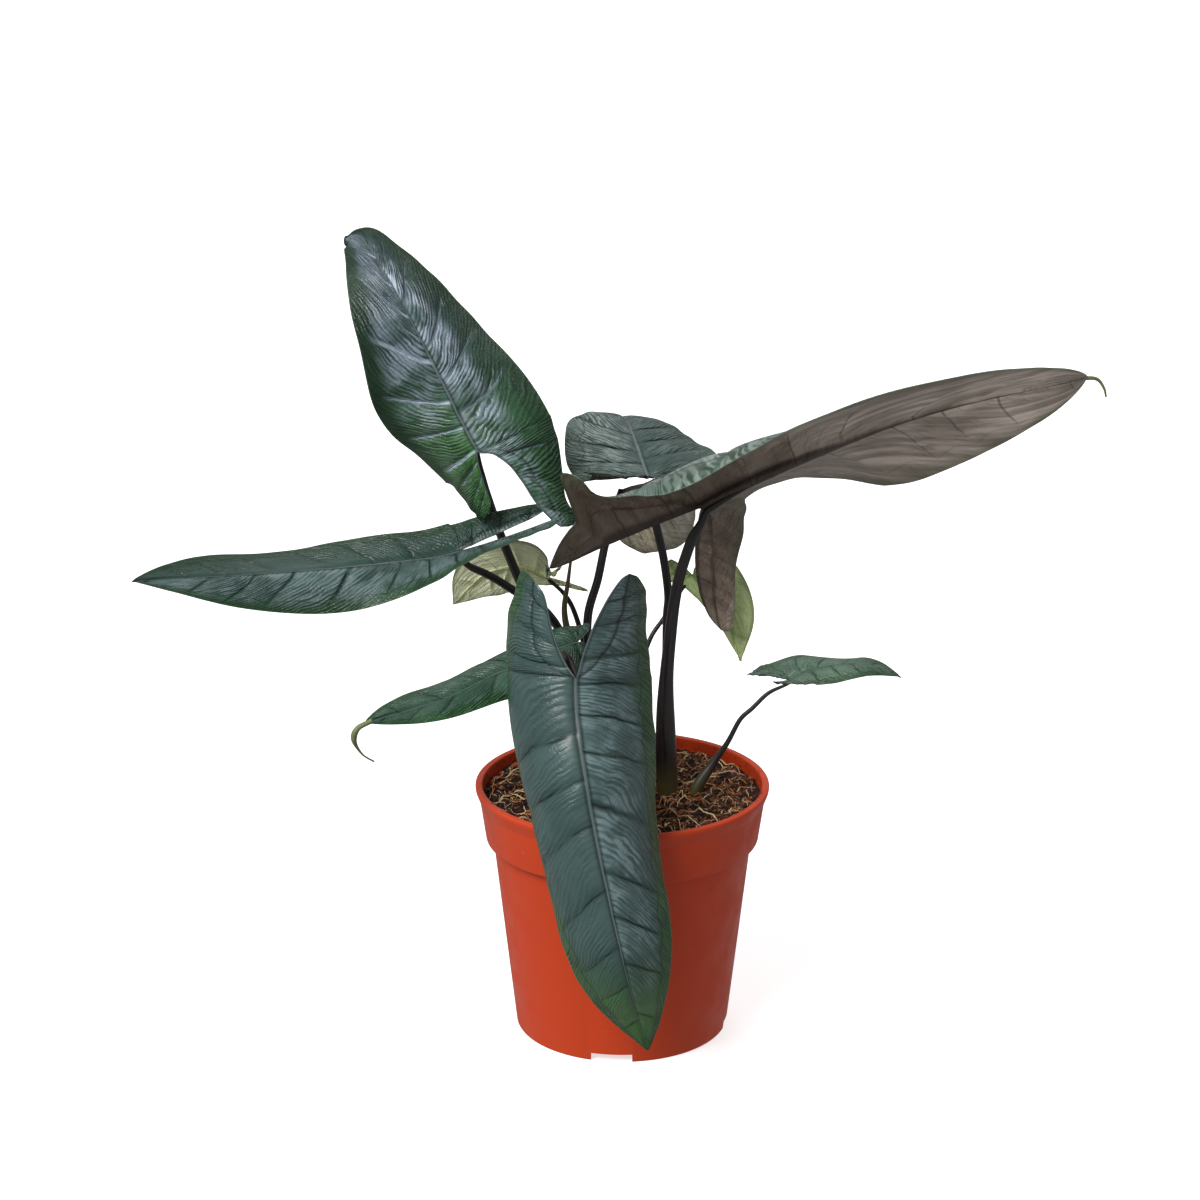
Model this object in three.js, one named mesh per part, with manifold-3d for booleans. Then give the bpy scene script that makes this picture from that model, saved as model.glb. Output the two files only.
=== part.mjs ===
// A potted Alocasia scalprum: eleven leaves and shoots on slender leaf stalks, growing from a small
// moulded plastic nursery pot of peat. Millimetres, +Z up, +X to the viewer's right, +Y away from the
// viewer. The origin is the centre of the pot's base, on the surface it stands on.
import * as THREE from 'three';
import { mergeVertices } from 'three/addons/utils/BufferGeometryUtils.js';
import Module from 'manifold-3d';

const wasm = await Module();
wasm.setup();

// Pot
const POT_HEIGHT = 105;
const RIM_RADIUS = 60;
const RIM_DEPTH = 3.5;
const COLLAR_TOP_RADIUS = 58.6;
const COLLAR_LOW_RADIUS = 55.8;
const COLLAR_LOW_Z = 82;
const STEP_TOP_Z = 84;
const STEP_LOW_Z = 80;
const BODY_TOP_RADIUS = 53;
const BODY_LOW_RADIUS = 43.8;
const WALL = 1.5;
const FOOT_HEIGHT = 3.5;
const FOOT_WIDTH = 2.4;
const FLOOR_THICKNESS = 1.6;
const HUB_RADIUS = 9;
const POT_SIDES = 64;
const DRAIN_HOLES = 8;
const DRAIN_RADIUS = 4;
const DRAIN_CIRCLE = 29;
const FOOT_NOTCHES = 4;
const NOTCH_WIDTH = 17;
const NOTCH_TURN = -6;

// Soil
const SOIL_Z = 100;
const SOIL_GAP = 0.4;
const SOIL_RINGS = 7;
const SOIL_SIDES = 36;
const SOIL_BUMP = 1.2;

// Leaves and stalks
const BLADE_THICKNESS = 0.8;
const MIDRIB_DEPTH = 1.3;
const PANEL_HEIGHT = 0.55;
const VEIN_LEAN = 0.13;
const STALK_SIDES = 8;
const STALK_STEP = 7;
const BURIED = 16;
const CLEARANCE = 0.35;

const LEAF_GREEN = new THREE.MeshStandardMaterial({ color: 0x2f4f45, roughness: 0.38, metalness: 0 });
const LEAF_BROWN = new THREE.MeshStandardMaterial({ color: 0x5a4a46, roughness: 0.5, metalness: 0 });
const LEAF_PALE = new THREE.MeshStandardMaterial({ color: 0xb4c088, roughness: 0.55, metalness: 0 });
const STALK_DARK = new THREE.MeshStandardMaterial({ color: 0x2b2226, roughness: 0.4, metalness: 0 });
const STALK_OLIVE = new THREE.MeshStandardMaterial({ color: 0x5a5538, roughness: 0.5, metalness: 0 });
const POT_PLASTIC = new THREE.MeshStandardMaterial({ color: 0xc0492b, roughness: 0.45, metalness: 0 });
const PEAT = new THREE.MeshStandardMaterial({ color: 0x3a2417, roughness: 0.95, metalness: 0 });

const radians = THREE.MathUtils.degToRad;
const point = ([x, y, z]) => new THREE.Vector3(x, y, z);

// A smooth value at t (0 to 1) along a row of evenly spaced values.
function smooth(values, t) {
  const last = values.length - 1;
  const at = THREE.MathUtils.clamp(t, 0, 1) * last;
  const i = Math.min(Math.floor(at), last - 1);
  const f = at - i;
  const b = values[i];
  const c = values[i + 1];
  const a = i > 0 ? values[i - 1] : 2 * b - c;
  const d = i < last - 1 ? values[i + 2] : 2 * c - b;
  return 0.5 * (2 * b + (c - a) * f + (2 * a - 5 * b + 4 * c - d) * f * f
    + (3 * b - a - 3 * c + d) * f * f * f);
}

function meshGeometry(positions, triangles) {
  const geometry = new THREE.BufferGeometry();
  geometry.setAttribute('position', new THREE.Float32BufferAttribute(positions.flat(), 3));
  geometry.setIndex(triangles.flat());
  return geometry;
}

// From a closed mesh to a solid that can be joined and cut, and back.
function toSolid(geometry) {
  const plain = geometry.clone();
  plain.deleteAttribute('normal');
  plain.deleteAttribute('uv');
  const merged = mergeVertices(plain, 1e-4);
  return new wasm.Manifold(new wasm.Mesh({
    numProp: 3,
    vertProperties: Float32Array.from(merged.attributes.position.array),
    triVerts: Uint32Array.from(merged.index.array),
  }));
}

function toGeometry(solid) {
  const { vertProperties, triVerts } = solid.getMesh();
  const geometry = new THREE.BufferGeometry();
  geometry.setAttribute('position', new THREE.BufferAttribute(vertProperties, 3));
  geometry.setIndex(new THREE.BufferAttribute(triVerts, 1));
  return geometry;
}

function largestPiece(solid) {
  return solid.decompose().reduce((a, b) => (b.volume() > a.volume() ? b : a));
}

const group = new THREE.Group();

function addNode(name, geometry, material) {
  const faceted = geometry.toNonIndexed();
  faceted.computeVertexNormals();
  const mesh = new THREE.Mesh(faceted, material);
  mesh.name = name;
  group.add(mesh);
}

// Pot: a lathed cup on a foot ring with notches, and a central hub that carries the flat mount face.
function potWallRadius(z) {
  return THREE.MathUtils.lerp(BODY_LOW_RADIUS, BODY_TOP_RADIUS, z / COLLAR_LOW_Z);
}

function collarRadius(z) {
  const t = (z - COLLAR_LOW_Z) / (POT_HEIGHT - RIM_DEPTH - COLLAR_LOW_Z);
  return THREE.MathUtils.lerp(COLLAR_LOW_RADIUS, COLLAR_TOP_RADIUS, t);
}

function potInnerRadius(z) {
  return (z < COLLAR_LOW_Z ? potWallRadius(z) : collarRadius(z)) - WALL;
}

function lathe(profile, sides) {
  const outline = profile.map(([r, z]) => new THREE.Vector2(r, z));
  return new THREE.LatheGeometry(outline, sides).rotateX(Math.PI / 2);
}

function makePot() {
  const floorZ = FOOT_HEIGHT + FLOOR_THICKNESS;
  const lipZ = POT_HEIGHT - RIM_DEPTH;
  const profile = [
    [0, 0], [HUB_RADIUS, 0], [HUB_RADIUS + 1, FOOT_HEIGHT],
    [BODY_LOW_RADIUS - FOOT_WIDTH, FOOT_HEIGHT], [BODY_LOW_RADIUS - FOOT_WIDTH, 0],
    [BODY_LOW_RADIUS - 0.3, 0], [BODY_LOW_RADIUS + 0.1, 0.6],
    [potWallRadius(COLLAR_LOW_Z), COLLAR_LOW_Z], [COLLAR_LOW_RADIUS - 0.5, COLLAR_LOW_Z],
    [COLLAR_LOW_RADIUS, COLLAR_LOW_Z + 0.6], [collarRadius(lipZ), lipZ],
    [RIM_RADIUS - 0.5, lipZ], [RIM_RADIUS, lipZ + 0.6], [RIM_RADIUS, POT_HEIGHT - 0.9],
    [RIM_RADIUS - 0.9, POT_HEIGHT], [RIM_RADIUS - 2.4, POT_HEIGHT],
    [collarRadius(lipZ) - WALL, POT_HEIGHT - 1.2], [potInnerRadius(lipZ), lipZ],
    [potInnerRadius(STEP_TOP_Z), STEP_TOP_Z], [potInnerRadius(STEP_LOW_Z), STEP_LOW_Z],
    [potInnerRadius(floorZ), floorZ], [0, floorZ],
  ];
  let pot = toSolid(lathe(profile, POT_SIDES));
  for (let i = 0; i < DRAIN_HOLES; i += 1) {
    const angle = (i + 0.5) * 2 * Math.PI / DRAIN_HOLES;
    const hole = new THREE.CylinderGeometry(DRAIN_RADIUS, DRAIN_RADIUS, 4 * FLOOR_THICKNESS, 20);
    hole.rotateX(Math.PI / 2);
    hole.translate(DRAIN_CIRCLE * Math.cos(angle), DRAIN_CIRCLE * Math.sin(angle), floorZ);
    pot = pot.subtract(toSolid(hole));
  }
  for (let i = 0; i < FOOT_NOTCHES; i += 1) {
    const notch = new THREE.BoxGeometry(NOTCH_WIDTH, 4 * FOOT_WIDTH, 2 * FOOT_HEIGHT);
    notch.translate(0, -BODY_LOW_RADIUS, 0);
    notch.rotateZ(radians(NOTCH_TURN + i * 360 / FOOT_NOTCHES));
    pot = pot.subtract(toSolid(notch));
  }
  return toGeometry(pot);
}

// Soil: it fills the pot to about 5 mm below the rim, with a low uneven top.
function soilBump(x, y) {
  return SOIL_BUMP * (Math.sin(x * 0.21 + 1.3) * Math.cos(y * 0.19 - 0.4)
    + 0.6 * Math.sin(x * 0.47 - y * 0.39 + 2.1));
}

function makeSoil(stalkCuts) {
  const floorZ = FOOT_HEIGHT + FLOOR_THICKNESS + SOIL_GAP;
  const topRadius = potInnerRadius(SOIL_Z) - SOIL_GAP;
  const positions = [[0, 0, SOIL_Z + soilBump(0, 0)]];
  for (let ring = 1; ring <= SOIL_RINGS; ring += 1) {
    const radius = topRadius * ring / SOIL_RINGS;
    const bumps = ring === SOIL_RINGS ? 0 : 1;
    for (let k = 0; k < SOIL_SIDES; k += 1) {
      const angle = 2 * Math.PI * k / SOIL_SIDES;
      const x = radius * Math.cos(angle);
      const y = radius * Math.sin(angle);
      positions.push([x, y, SOIL_Z + bumps * soilBump(x, y)]);
    }
  }
  const sideLevels = [STEP_TOP_Z, STEP_LOW_Z, floorZ];
  for (const z of sideLevels) {
    const radius = potInnerRadius(z) - SOIL_GAP;
    for (let k = 0; k < SOIL_SIDES; k += 1) {
      const angle = 2 * Math.PI * k / SOIL_SIDES;
      positions.push([radius * Math.cos(angle), radius * Math.sin(angle), z]);
    }
  }
  positions.push([0, 0, floorZ]);
  const triangles = [];
  const rings = SOIL_RINGS + sideLevels.length;
  for (let k = 0; k < SOIL_SIDES; k += 1) {
    const next = (k + 1) % SOIL_SIDES;
    triangles.push([0, 1 + k, 1 + next]);
    for (let ring = 1; ring < rings; ring += 1) {
      const a = 1 + (ring - 1) * SOIL_SIDES;
      const b = a + SOIL_SIDES;
      triangles.push([a + k, b + k, b + next], [a + k, b + next, a + next]);
    }
    const last = 1 + (rings - 1) * SOIL_SIDES;
    triangles.push([last + k, positions.length - 1, last + next]);
  }
  let soil = toSolid(meshGeometry(positions, triangles));
  for (const cut of stalkCuts) {
    soil = soil.subtract(cut);
  }
  return toGeometry(largestPiece(soil));
}

// Stalk: a round section that changes along a curve, from below the soil up to the blade.
function makeStalk(path, radii, extra = 0) {
  const points = path.map(point);
  const below = points[0].clone().setZ(points[0].z - BURIED - extra);
  const curve = new THREE.CatmullRomCurve3([below, ...points], false, 'catmullrom', 0.5);
  const steps = Math.ceil(curve.getLength() / STALK_STEP);
  const frames = curve.computeFrenetFrames(steps);
  const positions = [];
  for (let i = 0; i <= steps; i += 1) {
    const centre = curve.getPointAt(i / steps);
    const radius = smooth(radii, i / steps) + extra;
    for (let k = 0; k < STALK_SIDES; k += 1) {
      const angle = 2 * Math.PI * k / STALK_SIDES;
      const rim = centre.clone()
        .addScaledVector(frames.normals[i], radius * Math.cos(angle))
        .addScaledVector(frames.binormals[i], radius * Math.sin(angle));
      positions.push(rim.toArray());
    }
  }
  const triangles = [];
  for (let i = 0; i < steps; i += 1) {
    for (let k = 0; k < STALK_SIDES; k += 1) {
      const a = i * STALK_SIDES + k;
      const b = i * STALK_SIDES + (k + 1) % STALK_SIDES;
      triangles.push([a, b, b + STALK_SIDES], [a, b + STALK_SIDES, a + STALK_SIDES]);
    }
  }
  for (let k = 1; k < STALK_SIDES - 1; k += 1) {
    const top = steps * STALK_SIDES;
    triangles.push([0, k + 1, k], [top, top + k, top + k + 1]);
  }
  return toSolid(meshGeometry(positions, triangles));
}

// Blade outline of one half, flat: how far along the leaf (lobe tip -1, stalk 0, leaf tip 1) against
// the distance from the midrib as a share of the half width. The notch side closes at the lobe's tip.
const MARGIN = [[-0.72, 0.8], [-0.38, 0.9], [0, 0.98], [0.2, 1], [0.45, 0.87], [0.7, 0.6], [0.88, 0.27],
  [1, 0]];
const BLUNT = [[-1, 0.62], [-0.95, 0.79], [-0.72, 0.8], [-0.38, 0.9], [0, 0.98], [0.2, 1], [0.42, 0.88],
  [0.56, 0.8], [0.7, 0.61], [0.78, 0.5], [0.86, 0.41], [0.93, 0.33], [0.98, 0.22], [1, 0]];
const BROAD = [[-1, 0.73], [-0.95, 0.9], [-0.72, 0.8], [-0.38, 0.9], [0, 0.98], [0.15, 0.99], [0.28, 0.95],
  [0.42, 0.91], [0.53, 0.83], [0.65, 0.7], [0.75, 0.58], [0.82, 0.45], [0.88, 0.37], [0.92, 0.27],
  [0.95, 0.14], [1, 0]];
const STEEP = [[-1, 0.34], [-0.95, 0.38], [-0.72, 0.42], [-0.38, 0.44], [-0.15, 0.43], [0, 0.43], [0.1, 0.45],
  [0.2, 0.53], [0.45, 0.76], [0.7, 0.6], [0.88, 0.27], [1, 0]];
const WAISTED = [[-1, 0.3], [-0.72, 0.35], [-0.38, 0.25], [-0.05, 0.2], [0.12, 0.7], [0.3, 1], [0.55, 0.95],
  [0.8, 0.6], [1, 0]];
const DROOPING = [[-1, 0.3], [-0.72, 0.3], [-0.38, 0.25], [0, 0.3], [0.15, 0.55], [0.35, 0.8], [0.6, 0.8],
  [0.8, 0.45], [1, 0]];
const HANGING = [[-1, 0.85], [-0.97, 0.93], [-0.87, 0.89], [-0.67, 0.8], [-0.5, 0.82], [-0.33, 0.93],
  [-0.22, 1], [-0.11, 1.1], [0.03, 1.08], [0.2, 1], [0.45, 0.87], [0.7, 0.6], [0.88, 0.27], [1, 0]];
const FLARED = [[-1, 0.2], [-0.97, 0.33], [-0.9, 0.46], [-0.79, 0.57], [-0.715, 0.66], [-0.705, 0.95],
  [-0.7, 1.26], [-0.65, 1.36], [-0.57, 1.38], [-0.5, 1.12], [-0.37, 0.92], [0, 0.98], [0.2, 1],
  [0.45, 0.87], [0.7, 0.6], [0.88, 0.27], [1, 0]];
const ROUND_LEFT = [[-1, 0.9], [-0.6, 0.8], [0, 0.98], [0.17, 1.04], [0.38, 0.97], [0.48, 0.86], [0.56, 0.64],
  [0.7, 0.46], [0.88, 0.25], [1, 0]];
const ROUND_RIGHT = [[-1, 0.6], [-0.95, 0.77], [-0.72, 0.8], [-0.38, 0.9], [0, 1], [0.17, 1.02], [0.35, 0.9],
  [0.5, 0.78], [0.7, 0.56], [0.88, 0.27], [1, 0]];
const LOBED = [[-1, 0.8], [-0.8, 1.7], [-0.5, 2], [-0.25, 1.8], [0, 1.2], [0.2, 1], [0.45, 0.87], [0.7, 0.6],
  [0.88, 0.27], [1, 0]];
const NOTCH = [[-0.93, 0.7], [-0.6, 0.42], [-0.22, 0.16], [0, 0]];
const WIDE_NOTCH = [[-1, 0.6], [-0.93, 0.5], [-0.8, 0.39], [-0.67, 0.33], [-0.47, 0.29], [-0.29, 0.24],
  [-0.12, 0.15], [-0.04, 0.03], [0, 0]];
const HANGING_NOTCH = [[-1, 0.85], [-0.98, 0.75], [-0.95, 0.67], [-0.89, 0.58], [-0.82, 0.51], [-0.69, 0.43],
  [-0.5, 0.37], [-0.29, 0.33], [-0.12, 0.2], [0, 0]];
const OUTLINE_STEPS = 200;

function outlineCurve(rows) {
  const xs = rows.map((row) => row[0]);
  const ys = rows.map((row) => row[1]);
  const curve = [];
  for (let i = 0; i <= OUTLINE_STEPS; i += 1) {
    const t = i / OUTLINE_STEPS;
    curve.push([THREE.MathUtils.clamp(smooth(xs, t), -1, 1), Math.max(smooth(ys, t), 0)]);
  }
  return curve;
}

function lookUp(rows, x) {
  let i = 1;
  while (i < rows.length - 1 && rows[i][0] < x) i += 1;
  const [x0, y0] = rows[i - 1];
  const [x1, y1] = rows[i];
  const t = x1 > x0 ? THREE.MathUtils.clamp((x - x0) / (x1 - x0), 0, 1) : 0;
  return THREE.MathUtils.lerp(y0, y1, t);
}

class Half {
  constructor(leaf, side) {
    const k = side < 0 ? 0 : 1;
    const spread = leaf.spread[k];
    this.side = side;
    this.width = leaf.half[k];
    this.fold = leaf.fold[k].map(radians);
    this.curl = leaf.curl[k].map(radians);
    this.roll = leaf.roll.map(radians);
    this.face = point(leaf.face).normalize();
    this.taper = leaf.taper;
    const lobed = [[-1, spread], [-0.95, Math.min(spread + 0.17, 0.9)], ...MARGIN];
    this.margin = outlineCurve(leaf.margins?.[k] ?? lobed);
    this.flareLean = leaf.flareLean?.[k] ?? 0;
    const notched = [[-1, spread], ...NOTCH.map(([s, w]) => [s, w * spread])];
    this.notch = outlineCurve(leaf.notches?.[k] ?? notched);
    this.setAxis(leaf.lobes.map(point), leaf.midrib.map(point), k);
  }

  // The axis that the half is bent along: the lobe's own axis, then the midrib, by distance from the stalk.
  setAxis(lobes, midrib, k) {
    const behind = lobes[0].clone().add(lobes[1]).multiplyScalar(0.5);
    const curve = new THREE.CatmullRomCurve3([behind, ...midrib], false, 'catmullrom', 0.5);
    const rib = [];
    const fine = 48;
    for (let i = fine; i <= fine * midrib.length; i += 1) {
      rib.push(curve.getPoint(i / (fine * midrib.length)));
    }
    const joint = rib[0];
    const forward = rib[1].clone().sub(joint).normalize();
    const reach = joint.distanceTo(lobes[k]) / 2;
    const bend = joint.clone().addScaledVector(forward, -reach);
    const lobe = new THREE.QuadraticBezierCurve3(lobes[k], bend, joint).getPoints(32);
    this.points = [...lobe.slice(0, -1), ...rib];
    this.distance = [0];
    for (let i = 1; i < this.points.length; i += 1) {
      this.distance.push(this.distance[i - 1] + this.points[i].distanceTo(this.points[i - 1]));
    }
    this.lobeLength = this.distance[lobe.length - 1];
    this.distance = this.distance.map((d) => d - this.lobeLength);
    this.length = this.distance[this.distance.length - 1];
    this.tangents = this.points.map((p, i) => {
      const before = this.points[Math.max(i - 1, 0)];
      const after = this.points[Math.min(i + 1, this.points.length - 1)];
      return after.clone().sub(before).normalize();
    });
  }

  axisAt(along) {
    let i = 1;
    while (i < this.distance.length - 1 && this.distance[i] < along) i += 1;
    const span = this.distance[i] - this.distance[i - 1];
    const t = THREE.MathUtils.clamp((along - this.distance[i - 1]) / span, 0, 1);
    return {
      centre: this.points[i - 1].clone().lerp(this.points[i], t),
      tangent: this.tangents[i - 1].clone().lerp(this.tangents[i], t).normalize(),
    };
  }

  toAlong(s) {
    return s < 0 ? s * this.lobeLength : s * this.length;
  }

  // Place in space of a point of the flat half: s along the leaf, out mm from the axis.
  place(s, out) {
    const { centre, tangent } = this.axisAt(this.toAlong(s));
    const t = ((s < 0 ? s : 2 * s) + 1) / 3;
    const roll = smooth(this.roll, t);
    const fold = smooth(this.fold, t);
    const bend = smooth(this.curl, t) / this.width;
    const curl = Math.abs(bend) < 1e-6 ? 1e-6 : bend;
    const across = tangent.clone().cross(this.face).normalize();
    const up = across.clone().cross(tangent);
    const turned = across.clone().multiplyScalar(Math.cos(roll)).addScaledVector(up, Math.sin(roll));
    const raised = up.multiplyScalar(Math.cos(roll)).addScaledVector(across, -Math.sin(roll));
    const sideways = (Math.sin(fold + curl * out) - Math.sin(fold)) / curl;
    const rise = (Math.cos(fold) - Math.cos(fold + curl * out)) / curl;
    return centre.addScaledVector(turned, this.side * sideways).addScaledVector(raised, rise);
  }

  // Width of the half at s, as a share of its full width.
  marginAt(s) {
    const plain = lookUp(this.margin, s);
    return s > 0 ? plain ** this.taper : plain;
  }

  // A point between the inner edge (v = 0) and the margin (v = 1), on a line that leans like a side vein.
  pointAt(s, v) {
    const inner = s < 0 ? lookUp(this.notch, s) * this.width : 0;
    const outerS = s + VEIN_LEAN * Math.sin(Math.PI * s);
    const outer = this.marginAt(outerS) * this.width;
    const out = inner + (outer - inner) * v;
    const lean = this.flareLean * THREE.MathUtils.smoothstep(out / this.width, 0.7, 1.3);
    return this.place(s + (outerS - s) * v ** 1.3 - lean, out);
  }
}

// Rows of points across the leaf: in the lobes, on each side vein, and on the raised panel between two.
const LOBE_ROWS = [-1, -0.9, -0.76, -0.62, -0.48, -0.32, -0.15];

function bladeRows(veins, lobeRows) {
  const rows = lobeRows.map((s, i) => ({ s, panel: i % 2 === 0 ? 0 : 1 }));
  for (let i = 0; i < veins; i += 1) {
    const here = (i / veins) ** 1.08;
    const next = ((i + 1) / veins) ** 1.08;
    rows.push({ s: here, panel: -1 });
    rows.push({ s: (here + next) / 2, panel: 1 });
  }
  rows.push({ s: 1, panel: 0 });
  return rows;
}

function bladeSurface(leaf) {
  const rows = bladeRows(leaf.veins, leaf.lobeRows ?? LOBE_ROWS);
  const steps = leaf.across;
  const positions = [];
  const info = [];
  const triangles = [];
  const lookup = new Map();
  const halves = [-1, 1].map((side) => new Half(leaf, side));
  const add = (p, facts) => {
    const key = p.toArray().map((c) => Math.round(c * 1e3)).join(' ');
    if (!lookup.has(key)) {
      lookup.set(key, positions.length);
      positions.push(p.toArray());
      info.push(facts);
    }
    return lookup.get(key);
  };
  for (const half of halves) {
    const grid = rows.map(({ s, panel }) => {
      const row = [];
      for (let j = 0; j <= steps; j += 1) {
        const v = j / steps;
        const rib = s >= 0 && j === 0;
        const lift = PANEL_HEIGHT * leaf.quilt * panel * Math.sin(Math.PI * v ** 0.8) * (1 - Math.max(s, 0));
        row.push(add(half.pointAt(s, v), { rib: rib ? 1 - s : 0, lift: rib ? -0.3 : lift }));
      }
      return row;
    });
    for (let i = 0; i < grid.length - 1; i += 1) {
      for (let j = 0; j < steps; j += 1) {
        const [a, b, c, d] = [grid[i][j], grid[i][j + 1], grid[i + 1][j + 1], grid[i + 1][j]];
        const faces = [[a, b, c], [a, c, d]];
        for (const face of faces) {
          if (new Set(face).size < 3) continue;
          triangles.push(half.side > 0 ? face : [face[0], face[2], face[1]]);
        }
      }
    }
  }
  return { positions, info, triangles };
}

function vertexNormals(positions, triangles) {
  const geometry = meshGeometry(positions, triangles);
  geometry.computeVertexNormals();
  const { array } = geometry.attributes.normal;
  return positions.map((_, i) => [array[3 * i], array[3 * i + 1], array[3 * i + 2]]);
}

const shift = (p, n, d) => p.map((c, i) => c + n[i] * d);

// Blade: the leaf's surface given a thickness, with the midrib as a ridge underneath. The top and the
// underside are split into triangles alike.
function makeBlade(leaf) {
  const { positions, info, triangles } = bladeSurface(leaf);
  const firstNormals = vertexNormals(positions, triangles);
  const lifted = positions.map((p, i) => shift(p, firstNormals[i], info[i].lift));
  const normals = vertexNormals(lifted, triangles);
  const half = BLADE_THICKNESS / 2;
  const top = lifted.map((p, i) => shift(p, normals[i], half));
  const under = lifted.map((p, i) => shift(p, normals[i], -half - MIDRIB_DEPTH * leaf.rib * info[i].rib));
  const count = positions.length;
  const faces = triangles.flatMap(([a, b, c]) => [[a, b, c], [a + count, c + count, b + count]]);
  const edges = new Set(triangles.flatMap(([a, b, c]) => [`${a} ${b}`, `${b} ${c}`, `${c} ${a}`]));
  for (const edge of edges) {
    const [a, b] = edge.split(' ').map(Number);
    if (edges.has(`${b} ${a}`)) continue;
    faces.push([b, a, a + count], [b, a + count, b + count]);
  }
  return toSolid(meshGeometry([...top, ...under], faces));
}

// The space that a stalk leaves free around its blade: the blade moved a little each way.
function clearanceAround(blade) {
  const steps = [-1, 0, 1];
  const moves = steps.flatMap((x) => steps.flatMap((y) => steps.map((z) => new THREE.Vector3(x, y, z))));
  const copies = moves.map((move) => blade.translate(move.setLength(CLEARANCE).toArray()));
  return wasm.Manifold.union(copies);
}

// Drip tip: the thread that the leaf's point draws out into.
function makeDripTip(path, radii) {
  const points = path.map(point);
  const curve = new THREE.CatmullRomCurve3(points, false, 'catmullrom', 0.5);
  const steps = 10;
  const sides = 5;
  const frames = curve.computeFrenetFrames(steps);
  const positions = [];
  for (let i = 0; i <= steps; i += 1) {
    const centre = curve.getPointAt(i / steps);
    const radius = smooth(radii, i / steps);
    for (let k = 0; k < sides; k += 1) {
      const angle = 2 * Math.PI * k / sides;
      positions.push(centre.clone()
        .addScaledVector(frames.normals[i], radius * Math.cos(angle))
        .addScaledVector(frames.binormals[i], radius * Math.sin(angle)).toArray());
    }
  }
  const triangles = [];
  for (let i = 0; i < steps; i += 1) {
    for (let k = 0; k < sides; k += 1) {
      const a = i * sides + k;
      const b = i * sides + (k + 1) % sides;
      triangles.push([a, b, b + sides], [a, b + sides, a + sides]);
    }
  }
  for (let k = 1; k < sides - 1; k += 1) {
    const end = steps * sides;
    triangles.push([0, k + 1, k], [end, end + k, end + k + 1]);
  }
  return toSolid(meshGeometry(positions, triangles));
}

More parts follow.
